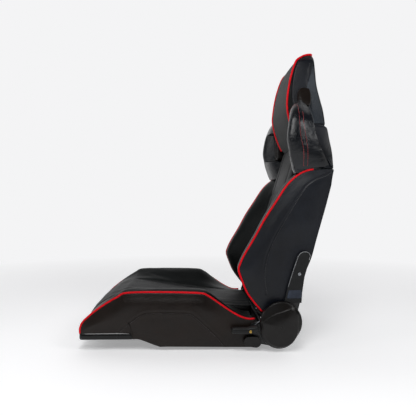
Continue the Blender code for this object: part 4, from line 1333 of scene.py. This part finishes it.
SHOULDER_PANEL = (
    (0.560, 0.3715, 0.2540, 0.3785, 0.3985), (0.585, 0.3600, 0.2480, 0.3770, 0.3950),
    (0.600, 0.3530, 0.2420, 0.3755, 0.3925), (0.6075, 0.3520, 0.2380, 0.3720, 0.3890),
    (0.6100, 0.3560, 0.2300, 0.3680, 0.3850),
)
GUSSET = (
    (0.556, 0.340, 0.2480, 0.3800), (0.604, 0.330, 0.2440, 0.3770), (0.644, 0.318, 0.2370, 0.3710),
    (0.680, 0.309, 0.2290, 0.3655), (0.690, 0.310, 0.2260, 0.3600), (0.694, 0.314, 0.2230, 0.3500),
)
GUSSET_INNER_X = 0.2125
PANEL_INNER_X = 0.1515
panel_rings, gusset_rings = [], []
for z, front, outer, rear, inner_rear in smooth_line(SHOULDER_PANEL, 4):
    middle = 0.5 * (outer + PANEL_INNER_X)
    ahead = ((PANEL_INNER_X, front), (middle, front), (outer - 0.004, front), (outer, front + 0.003))
    behind = ((outer, rear - 0.004), (outer - 0.004, rear), (middle, 0.5 * (rear + inner_rear)))
    ring = smooth_ring((*ahead, *behind, (PANEL_INNER_X, inner_rear)))
    panel_rings.append(at_z(ring, z))
for z, front, outer, rear in smooth_line(GUSSET, 6):
    ahead = ((GUSSET_INNER_X, front), (outer - 0.003, front), (outer, front + 0.004))
    behind = (
        (outer, rear - 0.005), (outer - 0.002, rear - 0.001), (outer - 0.006, rear), (GUSSET_INNER_X, rear),
    )
    ring = smooth_ring((*ahead, (outer + 0.0015, 0.5 * (front + rear)), *behind))
    gusset_rings.append(at_z(ring, z))
for name, rings, replaced in (
    ("shoulder_rear_cover", panel_rings, ["shoulder_rear_panel"]), ("wing_gusset", gusset_rings, []),
):
    block = closed_loft(
        f"{name}_left", rings, back_leather, "backrest", "gloss_leather",
        [f"{node}_left" for node in replaced],
    )
    fine(block)
    mirrored(block, f"{name}_right", [f"{node}_right" for node in replaced])


# ---- Harness slots ----
# Moulded bezels that line the shoulder-belt openings: a rounded lip in front, ribs down the tunnel
# and a flange behind.

SLOT_CENTRE = (0.1828, 0.2900, 0.6675)
SURROUND = (0.0307, 0.0520, 0.0120)
SLOT = (0.0170, 0.0400, 0.0168)
BEZEL_SECTION = (
    (0.00, 0.0140), (0.00, 0.0060), (0.00, -0.0080), (0.03, -0.0120), (0.14, -0.0145), (0.35, -0.0150),
    (0.60, -0.0142), (0.85, -0.0128), (0.98, -0.0100), (1.02, -0.0088), (1.02, -0.0072), (0.94, -0.0064),
    (0.94, -0.0044), (1.02, -0.0036), (1.02, -0.0016), (0.94, -0.0008), (0.94, 0.0012), (1.02, 0.0020),
    (1.02, 0.0040), (0.94, 0.0048), (0.94, 0.0080), (1.00, 0.0090), (1.00, 0.0125), (0.90, 0.0140),
    (0.45, 0.0142),
)
bezel_points = []
for share, depth in BEZEL_SECTION:
    half_x, half_z, corner = (a + (b - a) * share for a, b in zip(SURROUND, SLOT))
    corner = min(corner, half_x - 0.0001)
    for k, (across, up) in enumerate(((1, 1), (-1, 1), (-1, -1), (1, -1))):
        for i in range(9):
            angle = math.radians(90 * k + 90 * i / 8)
            x = across * (half_x - corner) + corner * math.cos(angle)
            z = up * (half_z - corner) + corner * math.sin(angle)
            bezel_points.append((SLOT_CENTRE[0] + x, SLOT_CENTRE[1] + depth, SLOT_CENTRE[2] + z))
rows = len(BEZEL_SECTION)
faces = grid_faces(rows, 36, ring=True)
faces += [((rows - 1) * 36 + j, (rows - 1) * 36 + (j + 1) % 36, (j + 1) % 36, j) for j in range(36)]
bezel = mesh_piece(
    "harness_slot_trim_left", bezel_points, faces, cover_plastic, "backrest", "cover_plastic",
    ["harness_bezel_left"],
)
mirrored(bezel, "harness_slot_trim_right", ["harness_bezel_right"])


# ---- Head shell ----
# The shell behind the head pad: glossy leather stretched over a moulding, with a short seam down
# each side and a fold across the back where the upper and lower covers meet.

SHELL_LEVELS = (
    (0.5600, 0.1500, 0.3500, 0.4000), (0.6100, 0.1470, 0.3400, 0.3940), (0.6400, 0.1440, 0.3320, 0.3880),
    (0.6800, 0.1400, 0.3060, 0.3835), (0.7110, 0.1405, 0.2960, 0.3830), (0.7550, 0.1430, 0.2800, 0.3755),
    (0.7880, 0.1395, 0.2720, 0.3675), (0.8380, 0.1345, 0.2720, 0.3565), (0.8830, 0.1295, 0.2800, 0.3530),
    (0.9220, 0.1190, 0.2960, 0.3520), (0.9400, 0.1030, 0.3200, 0.3520), (0.9460, 0.0960, 0.3350, 0.3505),
)
SHELL_SEAM = (
    (0.3400, 0.915), (0.3345, 0.890), (0.3290, 0.862), (0.3240, 0.834), (0.3255, 0.800), (0.3330, 0.760),
    (0.3420, 0.722),
)
shell_seam = smooth_line(SHELL_SEAM, 8)
shell_rings = []
for z in np.concatenate([np.linspace(0.5600, 0.9400, 96), [0.9430, 0.9460]]):
    w, front, rear = level(SHELL_LEVELS, z)
    depth = rear - front
    rear -= 0.0030 * math.exp(-(((z - 0.7040) / 0.0035) ** 2))
    half = smooth_line((
        (0.0, front), (0.5 * w, front), (w - 0.012, front), (w - 0.002, front + 0.0025),
        (w, front + 0.10 * depth + 0.002),
        (w + 0.0010, rear - 0.50 * depth), (w, rear - 0.14 * depth), (w - 0.0015, rear - 0.0025),
        (w - 0.006, rear - 0.0002),
        (0.78 * w, rear), (0.5 * w, rear), (0.0, rear + 0.0008),
    ), 5)
    flat = np.column_stack([half[:, 1], np.full(len(half), z)])
    side = np.clip((half[:, 0] - 0.8 * w) / (0.15 * w), 0, 1)
    groove = side * 0.0022 * np.exp(-((distance_to(flat, shell_seam) / 0.0022) ** 2))
    half[:, 0] -= groove
    ring = np.concatenate([half, (half * (-1, 1))[-2:0:-1]])
    shell_rings.append(at_z(ring, z))
shell = closed_loft(
    "head_shell_cover", shell_rings, back_leather, "backrest", "gloss_leather", ["head_shell"],
)
for side, sign in SIDES:
    laid = onto(shell, inset(shell_seam, 0.0036), sign)
    stitches(f"shell_seam_thread_{side}", laid, black_thread, "backrest", "gloss_leather")


# ---- Head gussets ----
# A stretchy ribbed strip sewn between the side and the back of the head cover, widest beside the
# wing's peak. Its ribs run parallel to the rear edge; their pale bluish grey is a painted sheen.

GUSSET_FRONT = (
    (0.3440, 0.905), (0.3340, 0.870), (0.3235, 0.838), (0.3180, 0.800), (0.3190, 0.765), (0.3300, 0.735),
    (0.3400, 0.712),
)
GUSSET_REAR = (
    (0.3480, 0.905), (0.3480, 0.870), (0.3520, 0.838), (0.3600, 0.800), (0.3680, 0.765), (0.3750, 0.735),
    (0.3790, 0.712),
)
# Its pale bluish grey tone is a painted sheen.
sheen_painted_ribbed_strip = coated_leather("ribbed_elastic_painted_sheen", "#262B31", "#3A4149", 0.42, 0.8, 0.4, 0.3)
rib_rows, rib_columns = 49, 90
front_edge = resample(smooth_line(GUSSET_FRONT, 6), rib_columns)
rear_edge = resample(smooth_line(GUSSET_REAR, 6), rib_columns)
for side, sign in SIDES:
    points = []
    for share in np.linspace(0, 1, rib_rows):
        lift = 0.0006 + 0.0007 * abs(math.sin(math.pi * share * 7)) * math.sin(
            math.pi * min(max(share, 0.02), 0.98)
        ) ** 0.3
        points.append(onto(shell, front_edge + (rear_edge - front_edge) * share, sign, lift))
    faces = grid_faces(rib_rows, rib_columns, flip=sign < 0)
    strip = mesh_piece(
        f"head_gusset_{side}", np.concatenate(points), faces, sheen_painted_ribbed_strip, "backrest", "gloss_leather",
        closed=False,
    )
    give_thickness(strip, 0.0010)


# ---- Shoulder caps ----
# A folded tuck of the glossy leather that fills the step between each wing's peak and the side of
# the head shell.

CAP_LEVELS = (
    (0.764, 0.136, 0.182, 0.2900, 0.3240), (0.782, 0.136, 0.174, 0.2880, 0.3290),
    (0.802, 0.135, 0.162, 0.2880, 0.3310), (0.816, 0.134, 0.153, 0.2920, 0.3300),
    (0.825, 0.133, 0.146, 0.2980, 0.3270), (0.829, 0.132, 0.141, 0.3030, 0.3220),
)
cap_rings = []
for z, inner, outer, front, rear in smooth_line(CAP_LEVELS, 4):
    half = ((outer - inner) / 2, (rear - front) / 2)
    centre = ((outer + inner) / 2, (rear + front) / 2)
    ring = []
    for k in range(36):
        across = squared(math.cos(2 * math.pi * k / 36), 0.35)
        along = squared(math.sin(2 * math.pi * k / 36), 0.35)
        ring.append((centre[0] + half[0] * across, centre[1] + half[1] * along, z))
    cap_rings.append(ring)
cap = closed_loft("shoulder_cap_left", cap_rings, side_leather, "backrest", "gloss_leather")
fine(cap)
mirrored(cap, "shoulder_cap_right")


# ---- Head pad ----
# A crowned foam pad faced with matt grey cloth whose woven ribs run up and down; red piping is sewn
# round its sides and over the top.

def ribbed_cloth(name, dark, light, rib_mm=3.2):
    """Woven polyester with a raised rib: matt, slightly furry at grazing angles, with pale slubs."""
    material, shader, place = new_material(name)
    ribs = add(
        material, "ShaderNodeTexWave", {"wave_type": "BANDS", "bands_direction": "X"},
        Vector=place, Scale=1000 / rib_mm / 20 * math.pi, Distortion=0.35, Detail=2.0, Detail_Scale=6.0,
    )
    yarn = add(material, "ShaderNodeTexNoise", Vector=place, Scale=900.0, Detail=2.0)
    slub = add(material, "ShaderNodeTexNoise", Vector=place, Scale=26.0, Detail=5.0, Roughness=0.65)
    tone = ramp(material, slub.outputs["Fac"], ((0.3, dark), (0.75, light)))
    shade = add(
        material, "ShaderNodeMix", {"data_type": "RGBA", "blend_type": "MULTIPLY"},
        i0=0.55, i6=tone, i7=ramp(material, ribs.outputs["Fac"], ((0.1, "#8A8A8A"), (0.8, "#FFFFFF"))),
    )
    drive(shader, "Base Color", shade.outputs[2])
    rib_relief = emboss(material, shader, ribs.outputs["Fac"], 0.55, 0.0009)
    emboss(material, shader, yarn.outputs["Fac"], 0.35, 0.0004, rib_relief)
    set_inputs(shader, Roughness=0.82, Sheen_Weight=0.08, Specular_IOR_Level=0.2, Sheen_Roughness=0.5)
    return material


head_cloth = ribbed_cloth("dark_grey_ribbed_cloth", "#161818", "#212323")
HEAD_LEVELS = (
    (0.6360, 0.1180, 0.2990), (0.6480, 0.1180, 0.2865), (0.6790, 0.1310, 0.2755),
    (0.7110, 0.1375, 0.2655), (0.7550, 0.1400, 0.2565), (0.7880, 0.1355, 0.2565),
    (0.8380, 0.1305, 0.2635), (0.8830, 0.1255, 0.2745), (0.9220, 0.1165, 0.2890),
    (0.9370, 0.1085, 0.3060), (0.9455, 0.1025, 0.3240), (0.9500, 0.0960, 0.3390),
    (0.9520, 0.0860, 0.3450),
)
HEAD_REAR = (
    (0.636, 0.322), (0.648, 0.312), (0.750, 0.284), (0.850, 0.290), (0.900, 0.315), (0.930, 0.340),
    (0.952, 0.3475),
)
HEAD_PIPING = (
    (0.120, 0.286, 0.648), (0.135, 0.275, 0.679), (0.142, 0.265, 0.711), (0.1445, 0.256, 0.755),
    (0.140, 0.256, 0.788), (0.135, 0.263, 0.838), (0.130, 0.274, 0.883), (0.120, 0.289, 0.922),
    (0.112, 0.307, 0.938), (0.106, 0.325, 0.9470), (0.0985, 0.343, 0.9510), (0.080, 0.3500, 0.9520),
    (0.040, 0.3510, 0.9530), (0.0, 0.3515, 0.9530),
)
face_shares = np.sin(np.linspace(-math.pi / 2, math.pi / 2, 37))
head_rings = []
for z in np.concatenate([np.linspace(0.6360, 0.9490, 82), [0.9500, 0.9510, 0.9520]]):
    w, front = level(HEAD_LEVELS, z)
    rear = max(float(np.interp(z, *zip(*HEAD_REAR))), front + 0.008)
    crown = 0.0030 * min(1.0, max(0.2, (0.952 - z) / 0.03))
    ring = [(w * share, front - crown * (1 - share**2) ** 0.75, z) for share in face_shares]
    middle = 0.5 * (front + rear)
    ring += [(w, middle, z), (w - 0.001, rear - 0.001, z), (w - 0.006, rear, z), (0.0, rear, z)]
    ring += [(-w + 0.006, rear, z), (-w + 0.001, rear - 0.001, z), (-w, middle, z)]
    head_rings.append(ring)
head = closed_loft("head_pad_cover", head_rings, head_cloth, "backrest", "head_fabric", ["head_pad"])
swell_front(head, head_rings, sewn_rows=3, sewn_column=36, pressure=2.0, cap=0.003)
half_route = smooth_line(HEAD_PIPING, 8)
route = resample(np.concatenate([half_route, (half_route * (-1, 1, 1))[-2::-1]]), 420)
cord_piece(
    "head_welt", route, PIPING_RADIUS, red_piping, "backrest", "red_piping", ["head_piping"], pinch=0.05,
)


# ---- Measures ----
# The box round the finished seat, without the studio floor.

low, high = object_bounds()
